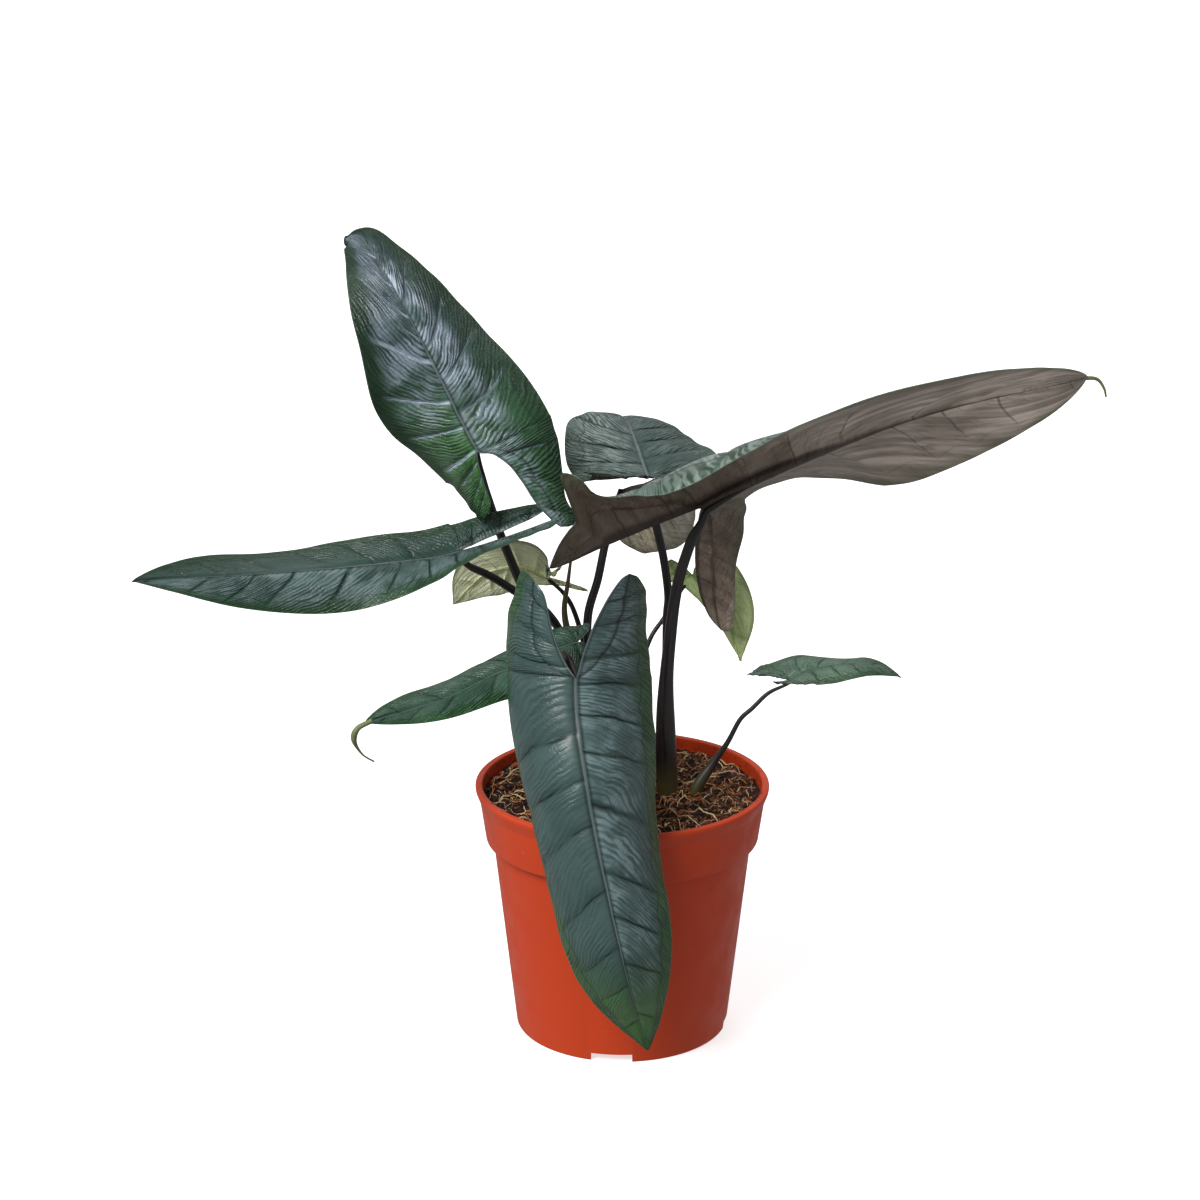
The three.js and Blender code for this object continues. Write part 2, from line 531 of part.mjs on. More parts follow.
// Every leaf. lobes: ends of the left and right lobe's axis; midrib: from the stalk to the tip; face: the
// way the top side looks; roll, fold and curl (degrees) at the lobe's end, the stalk, the middle and the
// tip, fold and curl for the left and the right half; half, spread: for the left and the right half.
const LEAVES = [
  {
    name: 'upper_left', veins: 7, across: 4, quilt: 1, rib: 1, material: LEAF_GREEN,
    lobes: [[-45, -18, 237], [-38, -33, 223]],
    midrib: [[-57, -14, 248], [-76, 1, 283], [-92, 18, 309], [-104, 39, 322], [-112, 50, 321]],
    face: [0.1, -0.86, 0.5], roll: [-5, 12, -13, -3], half: [30, 35], spread: [0.62, 0.73], taper: 1.29,
    fold: [[-49, -40, 2, -10], [-43, -12, -11, -14]], curl: [[-20, -27, 3, -19], [9, -20, -21, -13]],
    margins: [BLUNT, BROAD], notches: [null, WIDE_NOTCH],
    stalk: [[-11, 7, 98], [-14, 9, 126], [-24, 11, 150], [-32, 10, 166.5], [-41, 7, 187.5], [-48, 5.5, 206],
      [-52, 2, 219.5], [-55.5, -7, 235], [-57, -13, 247]],
    radii: [2.8, 2.6, 2.0, 1.8, 1.7],
  },
  {
    name: 'left', veins: 7, across: 4, quilt: 1, rib: 1, material: LEAF_GREEN,
    lobes: [[-25, -10, 223], [-28.6, -10.9, 216.6]],
    midrib: [[-65, -13, 207], [-92, -21, 205], [-141, -36, 205], [-188, -52, 207]],
    face: [0, -0.6, 0.8], roll: [-15, -19, -4, -3], half: [21, 29], spread: [0.67, 0.34], taper: 0.91,
    fold: [[29, 28, -13, 4], [25, 25, -28, -1]], curl: [[-8, -16, -33, -25], [0, 0, 0, 0]],
    margins: [null, STEEP],
    stalk: [[-13, 0, 98], [-15, 1, 128], [-20, 3.5, 155], [-26, 3, 170], [-33, 0, 180], [-42, -4, 187],
      [-51, -7, 194], [-60, -10, 200], [-65, -13, 206]],
    radii: [2.6, 2.4, 1.9, 1.7, 1.5],
  },
  {
    name: 'right', veins: 7, across: 5, quilt: 0.8, rib: 1.4, material: LEAF_BROWN,
    lobes: [[9.5, 29.5, 179.5], [-30.2, -10.4, 188.9]],
    midrib: [[32, 2, 221], [87, -16, 253], [127, -16, 267], [182, 2, 274]],
    face: [-0.2, 0.74, 0.64], roll: [13, 1, -7, 5], half: [44, 45], spread: [0.9, 0.37], taper: 0.71,
    fold: [[-35, 34, -4, -25], [-8, 49, -5, -19]], curl: [[5, -10, -25, 4], [37, -133, -8, 1]],
    stalk: [[18.5, 1, 98], [17.5, 2, 140], [19.5, 3, 169], [22, 3, 188], [26, 2, 203], [32, 1, 220]],
    radii: [4.6, 4.4, 4.0, 2.8, 2.4, 2.2, 2.1],
    margins: [HANGING, FLARED], notches: [HANGING_NOTCH, null], flareLean: [0, 0.075],
    lobeRows: [-1, -0.9, -0.76, -0.6, -0.55, -0.32, -0.15],
    dripTip: [[179, 2, 273.5], [186, 4, 272.7], [189.3, 5, 268.8], [190.5, 6, 265]],
  },
  {
    name: 'back', veins: 6, across: 4, quilt: 1.2, rib: 1, material: LEAF_GREEN,
    lobes: [[10.7, 10.3, 229.9], [17, -4, 229]],
    midrib: [[10, 13, 231], [6, 31, 238.5], [2, 53, 244], [-1, 79, 238.5]],
    face: [0, -0.41, 0.91], roll: [-4, 2, -8, -1], half: [30, 30], spread: [0.95, 0.6], taper: 1,
    fold: [[20, 14, 14, 6], [-1, 8, 1, 1]], curl: [[-14, -16, -14, -18], [-22, -17, -22, -22]],
    margins: [ROUND_LEFT, ROUND_RIGHT],
    stalk: [[18, 16, 98], [18, 16, 142], [18, 14, 170], [18.5, 12, 181], [16.5, 11, 197],
      [13, 11, 213], [10, 13, 230]],
    radii: [2.3, 2.1, 1.7, 1.7, 1.7],
  },
  {
    name: 'front', veins: 8, across: 5, quilt: 1.2, rib: 1, material: LEAF_GREEN,
    lobes: [[-7, -69, 216], [-13, -70, 198]],
    midrib: [[-18, -71, 174], [-13, -90, 132], [0, -102, 70], [10, -75, 20]],
    face: [0, -0.86, 0.51], roll: [11, 4, 1, -10], half: [39, 48], spread: [0.31, 0.61], taper: 1.08,
    fold: [[-31, -17, -18, -5], [-11, -9, -16, -18]], curl: [[-62, -39, -57, -46], [-64, -93, -97, -55]],
    stalk: [[-5, -7, 98], [-7, -15, 122], [-14, -27, 145], [-21, -38, 165], [-23, -47, 175],
      [-21, -59, 177.5], [-18, -71, 174]],
    radii: [2.6, 2.4, 2.1, 1.8, 1.6],
  },
  {
    name: 'lower_left', veins: 6, across: 4, quilt: 0.8, rib: 0.8, material: LEAF_GREEN,
    lobes: [[-13, -10, 158.5], [-6, 0, 172.5]],
    midrib: [[-18, -16, 170.5], [-48.5, -29, 162.5], [-71, -39, 154.5], [-101, -47, 147.5]],
    face: [0, -0.6, 0.8], roll: [-1, 0, -11, 0], half: [15, 19], spread: [0.6, 0.6], taper: 0.83,
    fold: [[6, 6, 22, 10], [4, 4, 5, 9]], curl: [[-74, -74, -71, -67], [-75, -74, -73, -71]],
    stalk: [[-5, 0, 98], [-8, -3, 118], [-13, -8, 140], [-16, -13, 158], [-18, -16, 170]],
    radii: [2.2, 2.0, 1.7, 1.5],
    dripTip: [[-98, -46, 148], [-103.5, -48, 145.5], [-105, -48, 140.5], [-102, -47, 134.5],
      [-97.5, -46, 131]],
  },
  {
    name: 'small_right', veins: 5, across: 3, quilt: 0.6, rib: 0.6, material: LEAF_GREEN,
    lobes: [[62, -3, 151.5], [56, -7, 151]],
    midrib: [[68, 6, 147], [78, 11, 150], [98, 9, 153], [114, 9, 147]],
    face: [0, -0.51, 0.86], roll: [10, 7, 6, -2], half: [15, 11], spread: [0.66, 0.56], taper: 1.2,
    fold: [[-6, 1, -23, -11], [25, 26, -1, -3]], curl: [[-20, -16, -30, -28], [-8, -10, -26, -29]],
    stalk: [[28.5, -1, 98], [37, 3, 111.5], [43, 4, 120.5], [48, 5, 130], [53, 5, 135],
      [60, 5.5, 142], [68, 6, 146.5]],
    radii: [2.7, 2.5, 1.2, 0.95, 0.85],
  },
  {
    name: 'pale_left', veins: 5, across: 3, quilt: 0.7, rib: 0.6, material: LEAF_PALE,
    lobes: [[-20, 20, 191.5], [-13, 19, 184]],
    midrib: [[-30, 18, 187], [-41, 18, 191], [-55.5, 17, 188.5], [-69, 15, 176]],
    face: [0.1, 0.98, 0.15], roll: [0, 0, 0, 0], half: [14, 13], spread: [0.5, 0.3], taper: 1,
    fold: [[-4, -4, -4, -4], [-4, -4, 1, -3]], curl: [[-17, -17, -17, -17], [-17, -17, -17, -17]],
    margins: [WAISTED, DROOPING],
    stalk: [[-6, 14, 98], [-9, 15, 116], [-14, 18, 150], [-19, 19, 170], [-24, 19, 180], [-30, 18, 186.5]],
    radii: [1.8, 1.6, 1.2, 0.9],
  },
  {
    name: 'pale_right', veins: 5, across: 3, quilt: 0.7, rib: 0.6, material: LEAF_PALE,
    lobes: [[28, 33, 193], [21, 33, 192]],
    midrib: [[29, 30, 184], [36, 27, 176], [43, 24, 166], [49, 22, 149]],
    face: [0, -0.95, 0.32], roll: [1, 4, -4, 0], half: [17, 5], spread: [0.6, 0.6], taper: 1.2,
    fold: [[-2, -6, 4, 0], [0, 0, 0, 0]], curl: [[-23, -25, -20, -19], [-20, -20, -20, -20]],
    margins: [null, LOBED],
    stalk: [[5, 9, 98], [3, 11, 118], [5, 14, 140], [11, 19, 159], [17, 22, 168], [24, 27, 178],
      [29, 30, 183]],
    radii: [1.6, 1.4, 1.0, 0.8],
  },
  {
    name: 'hidden_back', veins: 5, across: 4, quilt: 0.8, rib: 0.8, material: LEAF_BROWN,
    lobes: [[-7, 20, 216], [-9, 10, 213]],
    midrib: [[0, 26, 220], [9, 44, 218], [18, 66, 215], [29, 86, 205]],
    face: [-0.1, 0.31, 0.94], roll: [-18, -6, -5, -1], half: [24, 30], spread: [0.6, 0.39], taper: 1,
    fold: [[-30, -30, -30, -30], [-62, -46, -41, -32]], curl: [[-30, -30, -30, -30], [-19, -24, -28, -30]],
    stalk: [[1, 16, 98], [-4, 14, 120], [-13, 13, 154], [-14, 12, 172], [-10, 14, 187],
      [-7, 17, 201], [-4, 20, 210], [0, 25.5, 219.5]],
    radii: [2.4, 2.2, 1.9, 1.7, 1.6],
  },
];

const SHOOT = {
  name: 'new_shoot',
  stalk: [[-3.5, 6, 98], [-7, 4.5, 124], [-17, 8, 150], [-21.5, 8, 164], [-23.5, 8, 176],
    [-22, 7, 188], [-20.5, 7, 200]],
  radii: [2.4, 2.2, 2.1, 1.9, 1.2, 0.5],
};

const stalkHoles = [...LEAVES, SHOOT].map((leaf) => makeStalk(leaf.stalk, leaf.radii, CLEARANCE));
addNode('pot', makePot(), POT_PLASTIC);
addNode('soil', makeSoil(stalkHoles), PEAT);

for (const leaf of LEAVES) {
  let blade = makeBlade(leaf);
  if (leaf.dripTip) {
    blade = blade.add(makeDripTip(leaf.dripTip, [1.0, 0.8, 0.6, 0.5]));
  }
  addNode(`blade_${leaf.name}`, toGeometry(blade), leaf.material);
  const stalk = largestPiece(makeStalk(leaf.stalk, leaf.radii).subtract(clearanceAround(blade)));
  addNode(`stalk_${leaf.name}`, toGeometry(stalk), STALK_DARK);
}
addNode(SHOOT.name, toGeometry(makeStalk(SHOOT.stalk, SHOOT.radii)), STALK_OLIVE);

export default group;
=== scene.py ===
"""The looks of a potted Alocasia scalprum: quilted leaves with veins, dark stalks, peat with coir and a pot.

The plant's sizes and places are the CAD's, in millimetres. They become metres when a mesh is made.
+X is to the viewer's right, +Y away from the viewer and +Z up.
"""
import math

import bpy
import numpy as np
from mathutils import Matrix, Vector, noise


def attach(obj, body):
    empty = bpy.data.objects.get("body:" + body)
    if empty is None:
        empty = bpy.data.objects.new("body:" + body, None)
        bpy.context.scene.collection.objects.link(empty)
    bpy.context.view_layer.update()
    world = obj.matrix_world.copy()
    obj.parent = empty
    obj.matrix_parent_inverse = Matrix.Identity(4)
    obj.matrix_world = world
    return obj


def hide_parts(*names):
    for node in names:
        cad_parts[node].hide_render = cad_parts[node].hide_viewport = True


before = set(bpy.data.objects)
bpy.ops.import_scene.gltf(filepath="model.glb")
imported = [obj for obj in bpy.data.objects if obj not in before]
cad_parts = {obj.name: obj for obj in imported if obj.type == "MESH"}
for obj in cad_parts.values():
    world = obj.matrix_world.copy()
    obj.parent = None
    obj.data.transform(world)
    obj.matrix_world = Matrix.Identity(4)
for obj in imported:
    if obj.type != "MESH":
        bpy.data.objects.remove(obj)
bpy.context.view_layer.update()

MM = 0.001

# Pot
POT_HEIGHT = 105.0
RIM_RADIUS = 60.0
RIM_DEPTH = 3.5
COLLAR_TOP_RADIUS = 58.6
COLLAR_LOW_RADIUS = 55.8
COLLAR_LOW_Z = 82.0
STEP_TOP_Z = 84.0
STEP_LOW_Z = 80.0
BODY_TOP_RADIUS = 53.0
BODY_LOW_RADIUS = 43.8
WALL = 1.5
FOOT_HEIGHT = 3.5
FOOT_WIDTH = 2.4
FLOOR_THICKNESS = 1.6
HUB_RADIUS = 9.0
LIP_SLOPE = 3.0
LIP_TURN = 1.8
CORNER_RADIUS = 0.7
POT_SIDES = 192
DRAIN_HOLES = 8
DRAIN_RADIUS = 4.0
DRAIN_CIRCLE = 29.0
FOOT_NOTCHES = 4
NOTCH_WIDTH = 17.0
NOTCH_TURN = -6.0

# Soil
SOIL_Z = 100.0
SOIL_GAP = 0.4
SOIL_BUMP = 1.2
SOIL_RINGS = 96
SOIL_SIDES = 288
SOIL_CRUMBS = ((6.0, 1.0), (2.6, 1.1), (1.2, 0.7))

# Litter on the soil, thrown in this order
SHORT_FIBRES = 3000
LONG_FIBRES = 380
STRAWS = 60
CRUMBS = 1500
LITTER_SEED = 11
LITTER_MARGIN = 1.6
LITTER_TOP = POT_HEIGHT - 0.8

# Leaves and stalks
BLADE_MIDDLE_THICKNESS = 0.6
BLADE_EDGE_THICKNESS = 0.3
MIDRIB_RADIUS = 1.5
PANEL_HEIGHT = 1.0
VEIN_LEAN = 0.13
LOBE_VEINS = ((-1.0, -0.76, -0.48, -0.15, 0.0), (-3.9, -3.0, -2.0, -1.0, 0.0))
COLLECTING_VEIN = 0.76
COLLECTING_WIDTH = 0.02
COLLECTING_RIDGE = 0.12
SIDE_VEIN_WIDTH = 0.06
SIDE_VEIN_GROOVE = 0.25
SIDE_VEIN_RIDGE = 0.3
RIB_GROOVE = 0.75
BURIED = 16.0
STALK_SIDES = 24
STALK_STEP = 1.5
STALK_SINK = 0.9
DRIP_TIP_SIDES = 12
DRIP_TIP_STEP = 0.8

# Rows between two side veins and columns from the midrib to the margin, for a blade with a half width
# over LARGE_HALF and for a smaller one
LARGE_HALF = 25.0
LARGE_GRID = (24, 44)
SMALL_GRID = (16, 26)

# Camera, as worked out from the pot's ellipses in the photograph
CAMERA_PLACE = (-9.1, -1146.0, 547.2)
CAMERA_TILT = 72.36
LENS = 90.0
SENSOR = 36.0
FLOOR_REACH = 12000.0
WORLD_STRENGTH = 0.36


def smooth(values, t):
    """Smooth values at t (0 to 1) along a row of evenly spaced values."""
    values = np.asarray(values, float)
    last = len(values) - 1
    at = np.clip(t, 0, 1) * last
    i = np.minimum(np.floor(at).astype(int), last - 1)
    f = at - i
    if values.ndim > 1:
        f = f[..., None]
    padded = np.concatenate([[2 * values[0] - values[1]], values, [2 * values[-1] - values[-2]]])
    a, b, c, d = padded[i], padded[i + 1], padded[i + 2], padded[i + 3]
    return 0.5 * (2 * b + (c - a) * f + (2 * a - 5 * b + 4 * c - d) * f ** 2
                  + (3 * b - a - 3 * c + d) * f ** 3)


def unit(vectors):
    return vectors / np.maximum(np.linalg.norm(vectors, axis=-1, keepdims=True), 1e-12)


def ease(low, high, x):
    """0 up to low, 1 from high on and a smooth step between them."""
    t = np.clip((x - low) / (high - low), 0, 1)
    return t * t * (3 - 2 * t)


def walked(points):
    """How far along a path each of its points is."""
    return np.concatenate([[0], np.cumsum(np.linalg.norm(np.diff(points, axis=0), axis=1))])


def columns_at(t, stops, rows):
    """Each column of the rows, read at t between the stops."""
    return np.stack([np.interp(t, stops, rows[:, k]) for k in range(rows.shape[1])], axis=-1)


def tangents_along(points):
    before = np.concatenate([points[:1], points[:-1]])
    after = np.concatenate([points[1:], points[-1:]])
    return unit(after - before)


# Meshes
def new_object(name, points, faces, materials, uvs=None, face_materials=None, attributes=None,
               sharp=50.0):
    """An object from points in millimetres. uvs holds a pair for each corner of each face."""
    mesh = bpy.data.meshes.new(name)
    mesh.from_pydata((np.asarray(points) * MM).tolist(), [], faces)
    for material in materials:
        mesh.materials.append(material)
    if uvs is not None:
        layer = mesh.uv_layers.new(name="leaf")
        layer.data.foreach_set("uv", np.asarray(uvs, np.float32).ravel())
    if face_materials is not None:
        mesh.polygons.foreach_set("material_index", np.asarray(face_materials, np.int32))
    for key, values in (attributes or {}).items():
        attribute = mesh.attributes.new(key, "FLOAT", "POINT")
        attribute.data.foreach_set("value", np.asarray(values, np.float32))
    mesh.polygons.foreach_set("use_smooth", np.ones(len(mesh.polygons), bool))
    mesh.set_sharp_from_angle(angle=math.radians(sharp))
    mesh.update()
    obj = bpy.data.objects.new(name, mesh)
    bpy.context.scene.collection.objects.link(obj)
    return obj


def grid_faces(rows, columns, start=0):
    i, j = np.meshgrid(np.arange(rows - 1), np.arange(columns - 1), indexing="ij")
    a = (start + i * columns + j).ravel()
    return np.stack([a, a + 1, a + columns + 1, a + columns], axis=1)


def tube(centres, radii, sides):
    """Points, faces and corner uvs (round, along in mm) of a closed tube with its frame carried along."""
    tangents = tangents_along(centres)
    normal = unit(np.cross(tangents[0], [0.31, 0.83, 0.46]))
    normals = []
    for tangent in tangents:
        normal = unit(normal - tangent * np.dot(normal, tangent))
        normals.append(normal)
    normals = np.array(normals)
    binormals = np.cross(tangents, normals)
    angle = 2 * np.pi * np.arange(sides) / sides
    ring = (normals[:, None] * np.cos(angle)[None, :, None]
            + binormals[:, None] * np.sin(angle)[None, :, None])
    points = (centres[:, None] + ring * np.asarray(radii)[:, None, None]).reshape(-1, 3)
    along = walked(centres)
    faces = []
    uvs = []
    for i in range(len(centres) - 1):
        for k in range(sides):
            after = (k + 1) % sides
            faces.append((i * sides + k, i * sides + after, (i + 1) * sides + after, (i + 1) * sides + k))
            uvs += [(k / sides, along[i]), ((k + 1) / sides, along[i]),
                    ((k + 1) / sides, along[i + 1]), (k / sides, along[i + 1])]
    last = (len(centres) - 1) * sides
    faces.append(tuple(range(sides - 1, -1, -1)))
    uvs += [(k / sides, 0.0) for k in range(sides - 1, -1, -1)]
    faces.append(tuple(range(last, last + sides)))
    uvs += [(k / sides, along[-1]) for k in range(sides)]
    return points, faces, uvs


def even_path(points, step):
    """A smooth path through the points, cut into even steps."""
    fine = smooth(points, np.linspace(0, 1, 60 * len(points)))
    along = walked(fine)
    count = max(int(math.ceil(along[-1] / step)), 2)
    return columns_at(np.linspace(0, along[-1], count + 1), along, fine)


# Materials
def linear(red, green, blue):
    """A colour from 0 to 255 values as a screen shows it."""
    def channel(value):
        value /= 255
        return value / 12.92 if value <= 0.04045 else ((value + 0.055) / 1.055) ** 2.4
    return (channel(red), channel(green), channel(blue), 1)


class Shading:
    """A material that gets its body colour layer by layer. Short calls add nodes to it and give back an
    output. Where an input takes an output it also takes a number or a colour of three 0 to 255 values."""

    def __init__(self, name, **settings):
        self.material = bpy.data.materials.new(name)
        self.material.use_nodes = True
        self.tree = self.material.node_tree
        self.surface = self.tree.nodes["Principled BSDF"]
        for key, value in settings.items():
            self.put(value, self.surface.inputs[key.replace("_", " ")])
        self.place = self.add("ShaderNodeTexCoord")["Object"]
        self.body = None

    def put(self, value, socket):
        if isinstance(value, bpy.types.NodeSocket):
            self.tree.links.new(value, socket)
        elif isinstance(value, tuple) and len(value) == 3:
            socket.default_value = linear(*value)
        else:
            socket.default_value = value

    def add(self, kind, *values, inputs=None, **settings):
        """A new node, with values for its first inputs and for named or numbered ones."""
        node = self.tree.nodes.new(kind)
        for key, value in settings.items():
            setattr(node, key, value)
        for key, value in (inputs or dict(enumerate(values))).items():
            self.put(value, node.inputs[key])
        return node.outputs

    def math(self, operation, *values):
        return self.add("ShaderNodeMath", *values, operation=operation)[0]

    def times(self, a, b):
        return self.math("MULTIPLY", a, b)

    def scaled(self, value, by, plus):
        return self.math("MULTIPLY_ADD", value, by, plus)

    def larger(self, a, b):
        return self.math("MAXIMUM", a, b)

    def step(self, value, low, high, start=0, end=1):
        """Goes smoothly from start to end while the value goes from low to high."""
        values = (value, low, high, start, end)
        return self.add("ShaderNodeMapRange", *values, interpolation_type="SMOOTHSTEP")[0]

    def mix(self, share, a, b):
        return self.add("ShaderNodeMix", inputs={0: share, 6: a, 7: b}, data_type="RGBA")[2]

    def cover(self, share, colour):
        self.body = self.mix(share, self.body, colour)

    def join(self, x, y):
        return self.add("ShaderNodeCombineXYZ", x, y)[0]

    def split(self, vector):
        return self.add("ShaderNodeSeparateXYZ", vector)

    def noise(self, vector, scale, detail=2, roughness=0.5):
        inputs = {"Vector": vector, "Scale": scale, "Detail": detail, "Roughness": roughness}
        return self.add("ShaderNodeTexNoise", inputs=inputs)[0]

    def patches(self, scale, detail, low, high, start=0, end=1, roughness=0.5):
        return self.step(self.noise(self.place, scale, detail, roughness), low, high, start, end)

    def uv(self):
        return self.split(self.add("ShaderNodeUVMap", uv_map="leaf")[0])[:2]

    def attribute(self, name):
        return self.add("ShaderNodeAttribute", attribute_name=name)["Fac"]

    def ramp(self, value, *stops):
        fac = self.add("ShaderNodeValToRGB", value)[0]
        elements = fac.node.color_ramp.elements
        stops = [(position, linear(*colour)) for position, colour in stops]
        elements[0].position, elements[0].color = stops[0]
        elements[1].position, elements[1].color = stops[-1]
        for position, colour in stops[1:-1]:
            elements.new(position).color = colour
        return fac

    def finish(self, roughness, height=None, strength=0, distance=0):
        """Gives the surface its body colour, its roughness and its bump."""
        self.put(self.body, self.surface.inputs["Base Color"])
        self.put(roughness, self.surface.inputs["Roughness"])
        if height is not None:
            inputs = {"Strength": strength, "Distance": distance, "Height": height}
            self.put(self.add("ShaderNodeBump", inputs=inputs)[0], self.surface.inputs["Normal"])
        return self.material


class LeafShading(Shading):
    """A leaf's material, which knows where a point is among the veins. The uv counts side veins along the
    leaf and goes from the midrib (0) to the margin (1)."""

    def __init__(self, name, **settings):
        super().__init__(name, **settings)
        self.along, self.out = self.uv()
        drift = self.math("SUBTRACT", self.noise(self.place, 50), 0.5)
        wavy = self.math("ADD", self.along, self.times(drift, 0.3))
        self.near = self.math("PINGPONG", wavy, 0.5)
        self.set_veins()
        self.set_wrinkles(wavy)

    def set_veins(self):
        """Side veins that thin towards the margin, and the collecting vein that they loop into."""
        thick = self.scaled(self.out, -0.022, 0.036)
        self.inside = self.step(self.out, COLLECTING_VEIN - 0.16, COLLECTING_VEIN + 0.14, 1, 0)
        side = self.times(self.step(self.near, 0, thick, 1, 0), self.patches(55, 2, 0.35, 0.6, 0.2))
        self.side = self.times(side, self.inside)
        loop = self.scaled(self.near, -0.16, COLLECTING_VEIN + 0.06)
        away = self.math("ABSOLUTE", self.math("SUBTRACT", self.out, loop))
        self.collecting = self.step(away, 0, 0.022, 1, 0)

    def set_wrinkles(self, wavy):
        """Fine lines that arc from the midrib to the margin, and the net of cells between them."""
        arc = self.times(self.math("POWER", self.out, 1.5), -4)
        bent = self.scaled(self.noise(self.place, 62, 3), 1.9, self.scaled(wavy, 5, arc))
        strands = self.noise(self.join(bent, self.times(self.out, 2.6)), 1.6)
        lined = self.math("PINGPONG", self.times(bent, 1.7), 0.5)
        fine = self.step(self.scaled(lined, 0.4, self.times(strands, 0.8)), 0.3, 0.7)
        clear = self.patches(48, 2, 0.32, 0.6, 0.3)
        self.fine = self.scaled(clear, self.math("SUBTRACT", fine, 0.6), 0.6)
        inputs = {"Vector": self.place, "Scale": 520}
        cells = self.add("ShaderNodeTexVoronoi", inputs=inputs, feature="DISTANCE_TO_EDGE")
        self.net = self.step(cells["Distance"], 0, 0.22)


def leaf_top(name, dark_and_groove_shade, middle, silver, margin, wrinkles):
    """Top of a leaf: dark lines along the side veins, blue-green raised panels with fine wrinkles and painted
    shade in the grooves, a painted silver sheen and painted highlights along the veins where the point
    attributes say so, and greener towards the margin."""
    shade = LeafShading(name, Specular_IOR_Level=0.4)
    near, out, fine = shade.near, shade.out, shade.fine
    threads = shade.step(fine, 0.05, 0.7, 1 - 0.42 * wrinkles)
    # Painted shade: the panels darken towards the side veins on either side into the dark colour; fine lines
    # and random patches darken them a little too.
    raised = shade.times(shade.step(near, 0, 0.26, 0.72), threads)
    shade.body = shade.mix(shade.times(raised, shade.patches(45, 3, 0.3, 0.7, 0.65)), dark_and_groove_shade, middle)
    shade.cover(shade.attribute("green"), shade.mix(threads, (24, 56, 20), (58, 112, 36)))
    ragged = shade.scaled(shade.noise(shade.place, 80, 4, 0.7), 0.3, out)
    outer = shade.mix(shade.step(fine, 0, 0.8), (16, 46, 18), margin)
    shade.cover(shade.step(ragged, 0.74, 1.08, 0, 0.9), outer)
    # Painted sheen: a silver highlight on the panels away from the vein lines, in patches, as much as the
    # point attribute for the sheen gives; partly the leaf's own silvery tone.
    painted_sheen = shade.times(shade.step(near, 0.02, 0.08), shade.patches(75, 3, 0.38, 0.6, 0.25, roughness=0.55))
    painted_sheen = shade.times(painted_sheen, shade.step(fine, 0.15, 0.8, 0.1))
    shade.cover(shade.times(painted_sheen, shade.attribute("silver")), silver)
    # Dark lines along the side veins, the collecting vein and the lobe's main vein, with painted shade in a
    # soft band along each side vein's groove; none where the veins take painted highlights.
    valley = shade.larger(shade.step(near, 0, 0.08, 0.12, 0), shade.times(shade.side, 0.9))
    lines = shade.larger(shade.times(valley, shade.inside), shade.times(shade.collecting, 0.6))
    lines = shade.larger(lines, shade.times(shade.attribute("lobe_line"), 0.85))
    vein_glint = shade.attribute("pale_veins")
    shade.cover(shade.times(lines, shade.math("SUBTRACT", 1, vein_glint)), (9, 24, 21))
    # Painted highlight: a wider band along the side veins in the sheen colour, where the point attribute for
    # the veins says so.
    glint_band = shade.times(shade.step(near, 0.015, 0.075, 1, 0), shade.inside)
    shade.cover(shade.times(glint_band, shade.times(vein_glint, 0.8)), silver)
    # Darker along the fine wrinkles: the fine veins' own tone with painted shade in their grooves.
    shade.cover(shade.step(fine, 0, 0.3, 0.35 * wrinkles, 0), (12, 30, 25))
    # Painted shade in the grooves on both sides of the midrib; the pale line inside them is the midrib's own
    # colour.
    shade.cover(shade.step(out, 0.02, 0.06, 0.7, 0), (9, 22, 20))
    shade.cover(shade.step(out, 0.01, 0.024, 0.85, 0), (88, 104, 104))
    shade.cover(shade.step(out, 0.98, 1, 0, 0.6), (96, 118, 98))
    height = shade.scaled(shade.net, 0.12, shade.scaled(fine, 1, shade.times(shade.side, -0.9)))
    height = shade.times(height, shade.step(out, 0.05, 0.3, 0.05))
    return shade.finish(shade.patches(140, 3, 0.3, 0.7, 0.28, 0.42), height, 0.5 + 0.4 * wrinkles, 0.0008)


